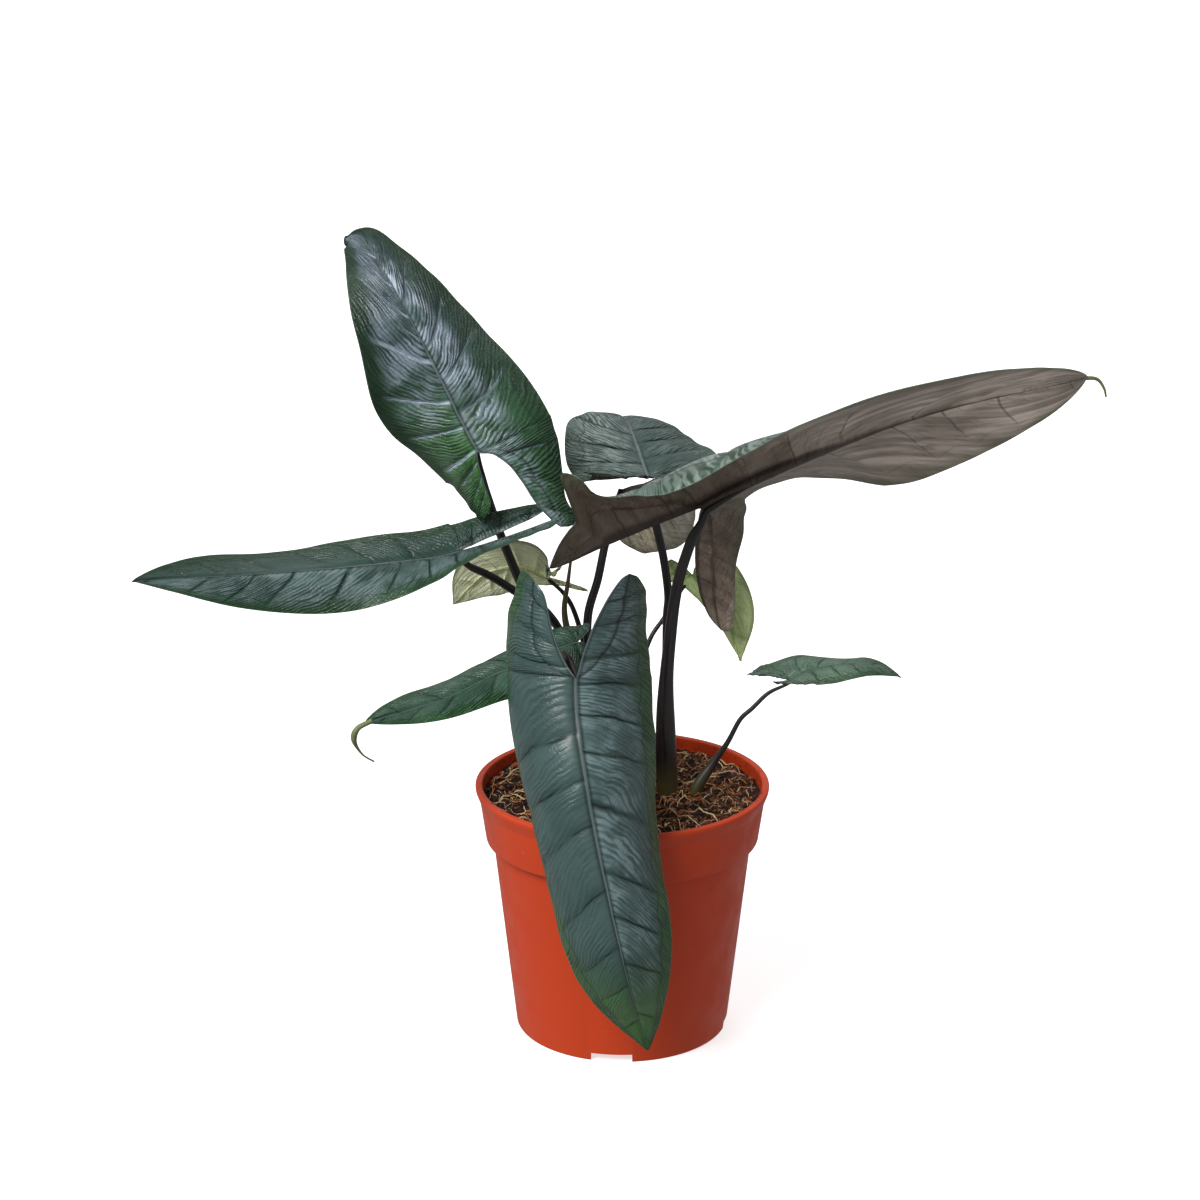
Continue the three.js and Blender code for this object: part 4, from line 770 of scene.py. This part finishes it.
# Every leaf, in millimetres and degrees. Pairs are for the left and the right half, as seen on the side
# that face points out of, with the tip pointing away.
# lobes: ends of the lobes' axes. midrib: from the stalk to the tip. face: the way the top side looks, or the
# underside of a leaf that is turned.
# roll, fold, curl: turn about the axis, slope away from it and bend towards the margin, at the lobe's end,
# the stalk, the middle and the tip. half: width of each half. spread: how wide each lobe ends, as a share.
# margins, notches: outlines that differ from the usual. taper: how slim the tip is. vein_lean, flare_lean:
# how far the side veins and a flared lobe lean forward.
# veins: side veins of a half. quilt, rib: height of the raised panels and size of the midrib.
# shares of painted silver sheen and how far out it reaches, of green at the lobes and at the tip, of painted
# highlights along the side veins and of painted light on the underside: what tone_shares works from.
# stalk, radii: its path from the soil up and its thickness. rib_run: how far it runs on along the midrib.
# drip_tip, tip_radii: the same for a thin tip past the blade's end.
# slot: the finish. skins: the materials of the top and the underside, as named in SKINS.
LEAVES = [
    dict(name="upper_left", slot="leaf_top", skins=("top_silver_sheen", "underside_green"),
         veins=7, quilt=1, rib=1,
         lobes=[[-45, -18, 237], [-38, -33, 223]],
         midrib=[[-57, -14, 248], [-76, 1, 283], [-92, 18, 309], [-104, 39, 322], [-112, 50, 321]],
         face=[0.1, -0.86, 0.5], roll=[-5, 12, -13, -3], half=[30, 35], spread=[0.62, 0.73], taper=1.29,
         fold=[[-49, -40, 2, -10], [-43, -12, -11, -14]], curl=[[-20, -27, 3, -19], [9, -20, -21, -13]],
         margins=[BLUNT, BROAD], notches=[None, WIDE_NOTCH], vein_lean=0.24,
         silver=[0.6, 0.9], sheen_reach=[0.75, 0.5], green=[0.8, 0.35], pale_veins=[1, 0.3],
         stalk=[[-11, 7, 98], [-14, 9, 126], [-24, 11, 150], [-32, 10, 166.5], [-41, 7, 187.5],
                [-48, 5.5, 206], [-52, 2, 219.5], [-55.5, -7, 235], [-57, -13, 247]],
         radii=[2.8, 2.6, 2.0, 1.8, 1.7]),
    dict(name="left", slot="leaf_top", skins=("top_deep", "underside_green"),
         veins=7, quilt=0.45, rib=1,
         lobes=[[-25, -10, 223], [-28.6, -10.9, 216.6]],
         midrib=[[-65, -13, 207], [-92, -21, 205], [-141, -36, 205], [-188, -52, 207]],
         face=[0, -0.6, 0.8], roll=[-15, -19, -4, -3], half=[21, 29], spread=[0.67, 0.34], taper=0.91,
         fold=[[29, 28, -13, 4], [25, 25, -28, -1]], curl=[[-8, -16, -33, -25], [0, 0, 0, 0]],
         margins=[None, STEEP], silver=[0.6, 0.05], sheen_reach=[0.85, 0.4],
         stalk=[[-13, 0, 98], [-15, 1, 128], [-20, 3.5, 155], [-26, 3, 170], [-33, 0, 180], [-42, -4, 187],
                [-51, -7, 194], [-60, -10, 200], [-65, -13, 206]],
         radii=[2.6, 2.4, 1.9, 1.7, 1.5]),
    dict(name="right", slot="leaf_underside", skins=("top_pale", "underside_brown"),
         veins=7, quilt=0.8, rib=1.4,
         lobes=[[9.5, 29.5, 179.5], [-30.2, -10.4, 188.9]],
         midrib=[[32, 2, 221], [87, -16, 253], [127, -16, 267], [182, 2, 274]],
         face=[-0.2, 0.74, 0.64], roll=[13, 1, -7, 5], half=[44, 45], spread=[0.9, 0.37], taper=0.71,
         fold=[[-35, 34, -4, -25], [-8, 49, -5, -19]], curl=[[5, -10, -25, 4], [37, -133, -8, 1]],
         stalk=[[18.5, 1, 98], [17.5, 2, 140], [19.5, 3, 169], [22, 3, 188], [26, 2, 203], [32, 1, 220]],
         radii=[4.6, 4.4, 4.0, 2.8, 2.4, 2.2, 2.1],
         margins=[HANGING, FLARED], notches=[HANGING_NOTCH, None], flare_lean=[0, 0.075],
         silver=[0.35, 0.35], sheen_reach=[1.2, 1.2], under_light=[1, 0.8], rib_run=30,
         drip_tip=[[179, 2, 273.5], [186, 4, 272.7], [189.3, 5, 268.8], [190.5, 6, 265]]),
    dict(name="back", slot="leaf_top", skins=("top_grey", "underside_green"),
         veins=6, quilt=0.9, rib=1,
         lobes=[[10.7, 10.3, 229.9], [17, -4, 229]],
         midrib=[[10, 13, 231], [6, 31, 238.5], [2, 53, 244], [-1, 79, 238.5]],
         face=[0, -0.41, 0.91], roll=[-4, 2, -8, -1], half=[30, 30], spread=[0.95, 0.6], taper=1,
         fold=[[20, 14, 14, 6], [-1, 8, 1, 1]], curl=[[-14, -16, -14, -18], [-22, -17, -22, -22]],
         margins=[ROUND_LEFT, ROUND_RIGHT], silver=[0.8, 0.2], sheen_reach=[1, 0.9],
         stalk=[[18, 16, 98], [18, 16, 142], [18, 14, 170], [18.5, 12, 181], [16.5, 11, 197], [13, 11, 213],
                [10, 13, 230]],
         radii=[2.3, 2.1, 1.7, 1.7, 1.7]),
    dict(name="front", slot="leaf_top", skins=("top_blue", "underside_green"),
         veins=8, quilt=0.75, rib=1,
         lobes=[[-7, -69, 216], [-13, -70, 198]],
         midrib=[[-18, -71, 174], [-13, -90, 132], [0, -102, 70], [10, -75, 20]],
         face=[0, -0.86, 0.51], roll=[11, 4, 1, -10], half=[39, 48], spread=[0.31, 0.61], taper=1.08,
         silver=[0.7, 0.05], sheen_reach=[0.7, 0.7], green_tip=0.9,
         fold=[[-31, -17, -18, -5], [-11, -9, -16, -18]], curl=[[-62, -39, -57, -46], [-64, -93, -97, -55]],
         stalk=[[-5, -7, 98], [-7, -15, 122], [-14, -27, 145], [-21, -38, 165], [-23, -47, 175],
                [-21, -59, 177.5], [-18, -71, 174]],
         radii=[2.6, 2.4, 2.1, 1.8, 1.6]),
    dict(name="lower_left", slot="leaf_top", skins=("top_green", "underside_green"),
         veins=6, quilt=0.6, rib=0.8,
         lobes=[[-13, -10, 158.5], [-6, 0, 172.5]],
         midrib=[[-18, -16, 170.5], [-48.5, -29, 162.5], [-71, -39, 154.5], [-101, -47, 147.5]],
         face=[0, -0.6, 0.8], roll=[-1, 0, -11, 0], half=[15, 19], spread=[0.6, 0.6], taper=0.83,
         fold=[[6, 6, 22, 10], [4, 4, 5, 9]], curl=[[-74, -74, -71, -67], [-75, -74, -73, -71]],
         stalk=[[-5, 0, 98], [-8, -3, 118], [-13, -8, 140], [-16, -13, 158], [-18, -16, 170]],
         radii=[2.2, 2.0, 1.7, 1.5],
         drip_tip=[[-98, -46, 148], [-103.5, -48, 145.5], [-105, -48, 140.5], [-102, -47, 134.5],
                   [-97.5, -46, 131]], tip_radii=[1.0, 1.1, 1.3, 0.7, 0.4, 0.4]),
    dict(name="small_right", slot="leaf_top", skins=("top_soft", "underside_green"),
         veins=5, quilt=0.6, rib=0.6,
         lobes=[[62, -3, 151.5], [56, -7, 151]],
         midrib=[[68, 6, 147], [78, 11, 150], [98, 9, 153], [114, 9, 147]],
         face=[0, -0.51, 0.86], roll=[10, 7, 6, -2], half=[15, 11], spread=[0.66, 0.56], taper=1.2,
         fold=[[-6, 1, -23, -11], [25, 26, -1, -3]], curl=[[-20, -16, -30, -28], [-8, -10, -26, -29]],
         stalk=[[28.5, -1, 98], [37, 3, 111.5], [43, 4, 120.5], [48, 5, 130], [53, 5, 135], [60, 5.5, 142],
                [68, 6, 146.5]],
         radii=[2.7, 2.5, 1.2, 0.95, 0.85]),
    dict(name="pale_left", slot="leaf_young", skins=("young_pale", "young_pale"),
         veins=5, quilt=0.7, rib=0.6,
         lobes=[[-20, 20, 191.5], [-13, 19, 184]],
         midrib=[[-30, 18, 187], [-41, 18, 191], [-55.5, 17, 188.5], [-69, 15, 176]],
         face=[0.1, 0.98, 0.15], roll=[0, 0, 0, 0], half=[14, 13], spread=[0.5, 0.3], taper=1,
         fold=[[-4, -4, -4, -4], [-4, -4, 1, -3]], curl=[[-17, -17, -17, -17], [-17, -17, -17, -17]],
         margins=[WAISTED, DROOPING],
         stalk=[[-6, 14, 98], [-9, 15, 116], [-14, 18, 150], [-19, 19, 170], [-24, 19, 180],
                [-30, 18, 186.5]],
         radii=[1.8, 1.6, 1.2, 0.9]),
    dict(name="pale_right", slot="leaf_young", skins=("young_green", "young_green"),
         veins=5, quilt=0.7, rib=0.6,
         lobes=[[28, 33, 193], [21, 33, 192]],
         midrib=[[29, 30, 184], [36, 27, 176], [43, 24, 166], [49, 22, 149]],
         face=[0, -0.95, 0.32], roll=[1, 4, -4, 0], half=[17, 5], spread=[0.6, 0.6], taper=1.2,
         fold=[[-2, -6, 4, 0], [0, 0, 0, 0]], curl=[[-23, -25, -20, -19], [-20, -20, -20, -20]],
         margins=[None, LOBED],
         stalk=[[5, 9, 98], [3, 11, 118], [5, 14, 140], [11, 19, 159], [17, 22, 168], [24, 27, 178],
                [29, 30, 183]],
         radii=[1.6, 1.4, 1.0, 0.8]),
    dict(name="hidden_back", slot="leaf_underside", skins=("top_green", "underside_tan"),
         veins=5, quilt=0.8, rib=0.8, turned=True,
         lobes=[[-7, 20, 216], [-9, 10, 213]],
         midrib=[[0, 26, 220], [9, 44, 218], [18, 66, 215], [29, 86, 205]],
         face=[-0.1, 0.31, 0.94], roll=[-18, -6, -5, -1], half=[24, 30], spread=[0.6, 0.39], taper=1,
         fold=[[-30, -30, -30, -30], [-62, -46, -41, -32]], curl=[[-30, -30, -30, -30], [-19, -24, -28, -30]],
         stalk=[[1, 16, 98], [-4, 14, 120], [-13, 13, 154], [-14, 12, 172], [-10, 14, 187], [-7, 17, 201],
                [-4, 20, 210], [0, 25.5, 219.5]],
         radii=[2.4, 2.2, 1.9, 1.7, 1.6]),
]

SHOOT_STALK = [[-3.5, 6, 98], [-7, 4.5, 124], [-17, 8, 150], [-21.5, 8, 164], [-23.5, 8, 176], [-22, 7, 188],
               [-20.5, 7, 200]]
SHOOT_RADII = [2.4, 2.2, 2.1, 1.9, 1.2, 0.5]


def dress(obj, slot, *nodes):
    """The piece rides on the plant and stands for its CAD nodes, which it hides. The slot is not used."""
    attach(obj, "root")
    if nodes:
        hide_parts(*nodes)


def radii_along(radii, centres):
    return smooth(radii, np.linspace(0, 1, len(centres)))


def stalk_path(path, radii):
    """Even steps along a stalk from below the soil up, and its radius at each."""
    path = np.array(path, float)
    centres = even_path(np.vstack([path[0] - [0, 0, BURIED], path]), STALK_STEP)
    return centres, radii_along(radii, centres)


def make_stalk(leaf, material):
    """The stalk sinks below the blade towards its end, so that it runs into the midrib from underneath."""
    half = Half(leaf, 1)
    centres, radii = stalk_path(leaf["stalk"], leaf["radii"])
    tangent = half.tangents[np.searchsorted(half.distance, 1.0)]
    up = np.cross(unit(np.cross(tangent, half.face)), tangent) * (-1 if leaf.get("turned") else 1)
    left = np.linalg.norm(centres - leaf["stalk"][-1], axis=1)
    closeness = 1 - ease(0, 14, left)
    radii = radii * (1 - 0.25 * closeness)
    centres = centres - up * ((radii + STALK_SINK) * closeness)[:, None]
    run = leaf.get("rib_run", 0)
    if run:
        reach = np.arange(STALK_STEP, run, STALK_STEP)
        thin = radii[-1] * (1 - 0.85 * reach / run)
        rib = columns_at(reach, half.distance, half.points)
        centres = np.vstack([centres, rib - up * (thin + STALK_SINK)[:, None]])
        radii = np.append(radii, thin)
    make_tube("stalk_" + leaf["name"], centres, radii, material, "stalk")


def make_tube(name, centres, radii, material, slot):
    points, faces, uvs = tube(centres, radii, STALK_SIDES)
    dress(new_object(name, points, faces, [material], uvs), slot, name)


def make_leaf(leaf, skins):
    name = "blade_" + leaf["name"]
    materials = [skins[skin] for skin in leaf["skins"]]
    if leaf.get("turned"):
        materials.reverse()
    grid = LARGE_GRID if leaf["half"][1] > LARGE_HALF else SMALL_GRID
    points, faces, uvs, face_materials, attributes = blade_mesh(leaf, *grid)
    if "drip_tip" in leaf:
        centres = even_path(leaf["drip_tip"], DRIP_TIP_STEP)
        radii = radii_along(leaf.get("tip_radii", [1.0, 0.8, 0.6, 0.4]), centres)
        tip_points, tip_faces, tip_uvs = tube(centres, radii, DRIP_TIP_SIDES)
        faces += [[corner + len(points) for corner in face] for face in tip_faces]
        uvs += [(leaf["veins"], 0.5)] * len(tip_uvs)
        face_materials += [len(materials)] * len(tip_faces)
        materials.append(skins["tip"])
        points = np.vstack([points, tip_points])
        plain = np.zeros(len(tip_points))
        attributes = {key: np.append(values, plain) for key, values in attributes.items()}
    blade = new_object(name, points, faces, materials, uvs, face_materials, attributes)
    dress(blade, leaf["slot"], name)


# Pot
def collar_radius(z):
    share = (z - COLLAR_LOW_Z) / (POT_HEIGHT - RIM_DEPTH - COLLAR_LOW_Z)
    return COLLAR_LOW_RADIUS + (COLLAR_TOP_RADIUS - COLLAR_LOW_RADIUS) * share


def body_radius(z):
    return BODY_LOW_RADIUS + (BODY_TOP_RADIUS - BODY_LOW_RADIUS) * z / COLLAR_LOW_Z


def inner_radius(z):
    return (body_radius(z) if z < COLLAR_LOW_Z else collar_radius(z)) - WALL


def rounded(profile, radius, steps=4):
    """The profile with its corners, apart from the first and last, turned into small arcs."""
    points = [np.array(p, float) for p in profile]
    path = [points[0]]
    for before, corner, after in zip(points, points[1:], points[2:]):
        to_before, to_after = before - corner, after - corner
        reach = min(radius, 0.45 * np.linalg.norm(to_before), 0.45 * np.linalg.norm(to_after))
        start = corner + unit(to_before) * reach
        end = corner + unit(to_after) * reach
        for t in np.linspace(0, 1, steps + 1):
            path.append(start * (1 - t) ** 2 + corner * 2 * t * (1 - t) + end * t ** 2)
    return np.array(path + [points[-1]])


def lathe(profile, sides):
    """Points and faces of a profile turned about Z. Its first and last point lie on the axis."""
    angle = 2 * np.pi * np.arange(sides) / sides
    rings = profile[1:-1]
    points = [[0, 0, profile[0][1]], [0, 0, profile[-1][1]]]
    for radius, z in rings:
        ring = [radius * np.cos(angle), radius * np.sin(angle), np.full(sides, z)]
        points += np.stack(ring, axis=1).tolist()
    faces = []
    for k in range(sides):
        after = (k + 1) % sides
        faces.append((0, 2 + after, 2 + k))
        for ring in range(len(rings) - 1):
            a = 2 + ring * sides
            faces.append((a + k, a + after, a + sides + after, a + sides + k))
        last = 2 + (len(rings) - 1) * sides
        faces.append((last + k, last + after, 1))
    return points, faces


def cut(obj, tool):
    """Takes the tool's shape out of the object."""
    modifier = obj.modifiers.new("cut", "BOOLEAN")
    modifier.object = tool
    modifier.operation = "DIFFERENCE"
    modifier.solver = "EXACT"
    bpy.context.view_layer.update()
    graph = bpy.context.evaluated_depsgraph_get()
    result = bpy.data.meshes.new_from_object(obj.evaluated_get(graph))
    obj.modifiers.clear()
    old = obj.data
    obj.data = result
    bpy.data.meshes.remove(old)
    bpy.data.objects.remove(tool)


def make_pot(material):
    floor_z = FOOT_HEIGHT + FLOOR_THICKNESS
    lip_z = POT_HEIGHT - RIM_DEPTH
    profile = [
        [0, 0], [HUB_RADIUS, 0], [HUB_RADIUS + 1, FOOT_HEIGHT],
        [BODY_LOW_RADIUS - FOOT_WIDTH, FOOT_HEIGHT], [BODY_LOW_RADIUS - FOOT_WIDTH, 0],
        [BODY_LOW_RADIUS, 0], [body_radius(COLLAR_LOW_Z), COLLAR_LOW_Z], [COLLAR_LOW_RADIUS, COLLAR_LOW_Z],
        [collar_radius(lip_z - LIP_SLOPE), lip_z - LIP_SLOPE], [RIM_RADIUS, lip_z + LIP_TURN],
        [RIM_RADIUS, POT_HEIGHT],
        [collar_radius(lip_z) - WALL, POT_HEIGHT], [inner_radius(lip_z), lip_z],
        [inner_radius(STEP_TOP_Z), STEP_TOP_Z], [inner_radius(STEP_LOW_Z), STEP_LOW_Z],
        [inner_radius(floor_z), floor_z], [0, floor_z],
    ]
    points, faces = lathe(rounded(profile, CORNER_RADIUS), POT_SIDES)
    pot = new_object("pot", points, faces, [material], sharp=40.0)
    turn = 2 * math.pi / DRAIN_HOLES
    cutters = []
    for i in range(DRAIN_HOLES):
        at = (i + 0.5) * turn
        middle = np.array([DRAIN_CIRCLE * math.cos(at), DRAIN_CIRCLE * math.sin(at), floor_z])
        ends = np.array([middle - [0, 0, 2 * FLOOR_THICKNESS], middle + [0, 0, 2 * FLOOR_THICKNESS]])
        cutters.append(tube(ends, [DRAIN_RADIUS, DRAIN_RADIUS], 48)[:2])
    for i in range(FOOT_NOTCHES):
        at = math.radians(NOTCH_TURN + i * 360 / FOOT_NOTCHES - 90)
        outward = np.array([math.cos(at), math.sin(at), 0])
        beside = np.array([-math.sin(at), math.cos(at), 0]) * NOTCH_WIDTH / 2
        corners = [outward * (BODY_LOW_RADIUS + reach) + beside * way + [0, 0, z]
                   for z in (-FOOT_HEIGHT, FOOT_HEIGHT) for reach in (-2 * FOOT_WIDTH, 2 * FOOT_WIDTH)
                   for way in (-1, 1)]
        sides = [(0, 1, 3, 2), (4, 6, 7, 5), (0, 4, 5, 1), (2, 3, 7, 6), (0, 2, 6, 4), (1, 5, 7, 3)]
        cutters.append((corners, sides))
    for points, faces in cutters:
        cut(pot, new_object("cutter", points, faces, [material]))
    pot.data.set_sharp_from_angle(angle=math.radians(40))
    dress(pot, "pot", "pot")


# Soil
def soil_bump(x, y):
    return SOIL_BUMP * (math.sin(x * 0.21 + 1.3) * math.cos(y * 0.19 - 0.4)
                        + 0.6 * math.sin(x * 0.47 - y * 0.39 + 2.1))


def soil_height(x, y):
    """Top of the soil: the low bumps of the CAD with crumbs of several sizes."""
    edge = 1 - ease(0.9, 1.0, math.hypot(x, y) / (inner_radius(SOIL_Z) - SOIL_GAP))
    crumbs = 0.0
    for size, height in SOIL_CRUMBS:
        crumbs += height * noise.noise(Vector((x / size, y / size, size)))
    return SOIL_Z + float(edge) * soil_bump(x, y) + crumbs


def make_soil(material):
    floor_z = FOOT_HEIGHT + FLOOR_THICKNESS + SOIL_GAP
    top_radius = inner_radius(SOIL_Z) - SOIL_GAP
    angle = 2 * np.pi * np.arange(SOIL_SIDES) / SOIL_SIDES
    points = [[0, 0, soil_height(0, 0)]]
    for ring in range(1, SOIL_RINGS + 1):
        radius = top_radius * ring / SOIL_RINGS
        points += [[radius * math.cos(a), radius * math.sin(a),
                    soil_height(radius * math.cos(a), radius * math.sin(a))] for a in angle]
    side_levels = [STEP_TOP_Z, STEP_LOW_Z, floor_z]
    for z in side_levels:
        radius = inner_radius(z) - SOIL_GAP
        points += [[radius * math.cos(a), radius * math.sin(a), z] for a in angle]
    points.append([0, 0, floor_z])
    faces = []
    rings = SOIL_RINGS + len(side_levels)
    for k in range(SOIL_SIDES):
        after = (k + 1) % SOIL_SIDES
        faces.append((0, 1 + k, 1 + after))
        for ring in range(1, rings):
            a = 1 + (ring - 1) * SOIL_SIDES
            b = a + SOIL_SIDES
            faces.append((a + k, b + k, b + after, a + after))
        last = 1 + (rings - 1) * SOIL_SIDES
        faces.append((last + k, len(points) - 1, last + after))
    soil = new_object("soil", points, faces, [material])
    dress(soil, "soil", "soil")


def strand_points(rng, middle, heading, length, lift):
    """A bent fibre lying on the soil."""
    t = np.linspace(-0.5, 0.5, 7)
    bend = rng.normal(0, 0.35)
    angle = heading + bend * t
    steps = np.stack([np.cos(angle), np.sin(angle)], axis=1) * length / (len(t) - 1)
    flat = middle + np.cumsum(steps, axis=0) - steps.sum(axis=0) / 2
    tilt = rng.normal(0, 0.12)
    arch = rng.uniform(0.0, 0.10) * length
    heights = [soil_height(x, y) for x, y in flat]
    z = np.array(heights) + lift + tilt * length * t + arch * (0.25 - t ** 2) * 4
    return np.column_stack([flat, z])


def make_litter(material):
    """Coir fibres, crumbs and a few straws lying on the peat, each with its own tone."""
    rng = np.random.default_rng(LITTER_SEED)
    room = inner_radius(SOIL_Z) - LITTER_MARGIN
    points, faces, tones = [], [], []

    def add(new_points, new_faces, tone):
        start = len(points)
        points.extend(np.asarray(new_points).tolist())
        faces.extend([corner + start for corner in face] for face in new_faces)
        tones.extend([tone] * len(new_points))

    def spot(reach):
        radius = reach * math.sqrt(rng.uniform())
        turn = rng.uniform(0, 2 * math.pi)
        return np.array([radius * math.cos(turn), radius * math.sin(turn)])

    def strand(length, radius, tone, lift):
        path = strand_points(rng, spot(room), rng.uniform(0, 2 * math.pi), length, lift)
        if np.hypot(path[:, 0], path[:, 1]).max() > room or path[:, 2].max() > LITTER_TOP:
            return
        thin = radius * np.array([0.5, 0.9, 1.0, 1.0, 1.0, 0.9, 0.5])
        add(*tube(path, thin, 4)[:2], tone)

    for _ in range(SHORT_FIBRES):
        tone = 0.95 * rng.uniform() ** 1.15
        strand(rng.uniform(1.2, 4.5), rng.uniform(0.08, 0.3), tone, rng.uniform(-0.2, 0.9))
    for _ in range(LONG_FIBRES):
        strand(rng.uniform(2.5, 8), rng.uniform(0.07, 0.17), rng.uniform(0.75, 1.0), rng.uniform(0.2, 1.2))
    for _ in range(STRAWS):
        strand(rng.uniform(7, 19), rng.uniform(0.16, 0.32), rng.uniform(0.96, 1.0), rng.uniform(0.8, 1.6))
    for _ in range(CRUMBS):
        x, y = spot(room)
        size = rng.uniform(0.4, 1.4)
        corners = rng.normal(0, 1, (6, 3)) * 0.25 + [[1, 0, 0], [0, 1, 0], [-1, 0, 0], [0, -1, 0], [0, 0, 1],
                                                     [0, 0, -1]]
        sides = [(0, 1, 4), (1, 2, 4), (2, 3, 4), (3, 0, 4), (1, 0, 5), (2, 1, 5), (3, 2, 5), (0, 3, 5)]
        middle = np.array([x, y, soil_height(x, y) + 0.2 * size])
        add(middle + corners * size * [1, 1, 0.7], sides, rng.uniform(0.0, 0.55))
    litter = new_object("soil_fibres", points, faces, [material], attributes={"tone": tones})
    dress(litter, "soil")


# The plant. Tops: dark colour, which is also the painted shade in the grooves, colour of the raised panels,
# of the painted silver sheen and of the margin, and how strong the wrinkles are. Undersides: darker and
# lighter colour, veins and faint flush.
TOPS = {
    "top_silver_sheen": [(16, 38, 34), (38, 68, 60), (166, 180, 198), (26, 56, 34), 0.85],
    "top_blue": [(28, 50, 46), (64, 88, 86), (126, 146, 152), (46, 88, 36), 0.3],
    "top_deep": [(20, 44, 37), (48, 74, 65), (122, 142, 146), (26, 66, 30), 0.6],
    "top_grey": [(24, 42, 38), (60, 80, 76), (144, 160, 156), (52, 80, 68), 0.6],
    "top_pale": [(54, 72, 66), (112, 124, 118), (186, 194, 190), (76, 100, 90), 0.3],
    "top_green": [(24, 50, 36), (52, 86, 66), (98, 126, 114), (38, 84, 40), 0.6],
    "top_soft": [(52, 80, 64), (90, 118, 98), (134, 158, 142), (66, 104, 70), 0.6],
}
UNDERSIDES = {
    "underside_brown": [(98, 81, 69), (136, 121, 107), (50, 36, 32), (116, 104, 90)],
    "underside_green": [(70, 74, 60), (92, 96, 78), (48, 46, 38), (80, 72, 62)],
    "underside_tan": [(152, 143, 128), (194, 185, 168), (92, 78, 66), (140, 136, 108)],
    "young_pale": [(240, 248, 198), (252, 255, 218), (176, 188, 124), (222, 240, 170)],
    "young_green": [(198, 222, 144), (228, 242, 182), (134, 166, 94), (208, 230, 156)],
    "tip": [(92, 104, 62), (132, 142, 100), (84, 84, 52), (112, 124, 78)],
}
SKINS = {name: leaf_top("leaf_" + name, *colours) for name, colours in TOPS.items()}
for name, colours in UNDERSIDES.items():
    SKINS[name] = leaf_underside("leaf_" + name, *colours)

make_pot(pot_plastic())
make_soil(peat())
make_litter(coir())
stalk_material = stalk_skin("stalk_skin", (17, 12, 13), (46, 40, 39), (88, 82, 40))
for leaf in LEAVES:
    make_leaf(leaf, SKINS)
    make_stalk(leaf, stalk_material)
shoot_material = stalk_skin("shoot_skin", (70, 62, 40), (108, 100, 66), (96, 92, 48))
make_tube("new_shoot", *stalk_path(SHOOT_STALK, SHOOT_RADII), shoot_material, "shoot")


# Floor, light and camera
def make_floor():
    shade = Shading("floor", Emission_Color=(1, 1, 1, 1), Emission_Strength=0.64)
    shade.body = shade.mix(shade.noise(shade.place, 3.0), (0.8, 0.8, 0.8, 1), (0.84, 0.84, 0.84, 1))
    corners = [[-FLOOR_REACH, -FLOOR_REACH, 0], [FLOOR_REACH, -FLOOR_REACH, 0], [FLOOR_REACH, FLOOR_REACH, 0],
               [-FLOOR_REACH, FLOOR_REACH, 0]]
    floor = new_object("floor", corners, [(0, 1, 2, 3)], [shade.finish(0.8)])
    floor.visible_diffuse = False
    floor.visible_glossy = False


def add_sun(name, strength, softness, towards, colour):
    """A far soft light. towards points from the plant to the light."""
    light = bpy.data.lights.new(name, "SUN")
    light.energy = strength
    light.angle = math.radians(softness)
    light.color = colour
    obj = bpy.data.objects.new(name, light)
    obj.rotation_euler = Vector(towards).to_track_quat("Z", "Y").to_euler()
    bpy.context.scene.collection.objects.link(obj)


make_floor()
add_sun("key", 3.2, 34.0, (-0.5, -0.5, 0.71), (1, 0.99, 0.97))
add_sun("back", 0.5, 50.0, (0.25, 0.55, 0.85), (0.93, 0.97, 1))
world = bpy.data.worlds.new("studio")
world.use_nodes = True
background = world.node_tree.nodes["Background"]
background.inputs["Color"].default_value = (1, 1, 1, 1)
background.inputs["Strength"].default_value = WORLD_STRENGTH
bpy.context.scene.world = world
bpy.context.scene.view_settings.view_transform = "Standard"

camera_data = bpy.data.cameras.new("camera")
camera_data.lens = LENS
camera_data.sensor_width = SENSOR
camera = bpy.data.objects.new("camera", camera_data)
camera.location = [value * MM for value in CAMERA_PLACE]
camera.rotation_euler = (math.radians(CAMERA_TILT), 0, 0)
bpy.context.scene.collection.objects.link(camera)
bpy.context.scene.camera = camera
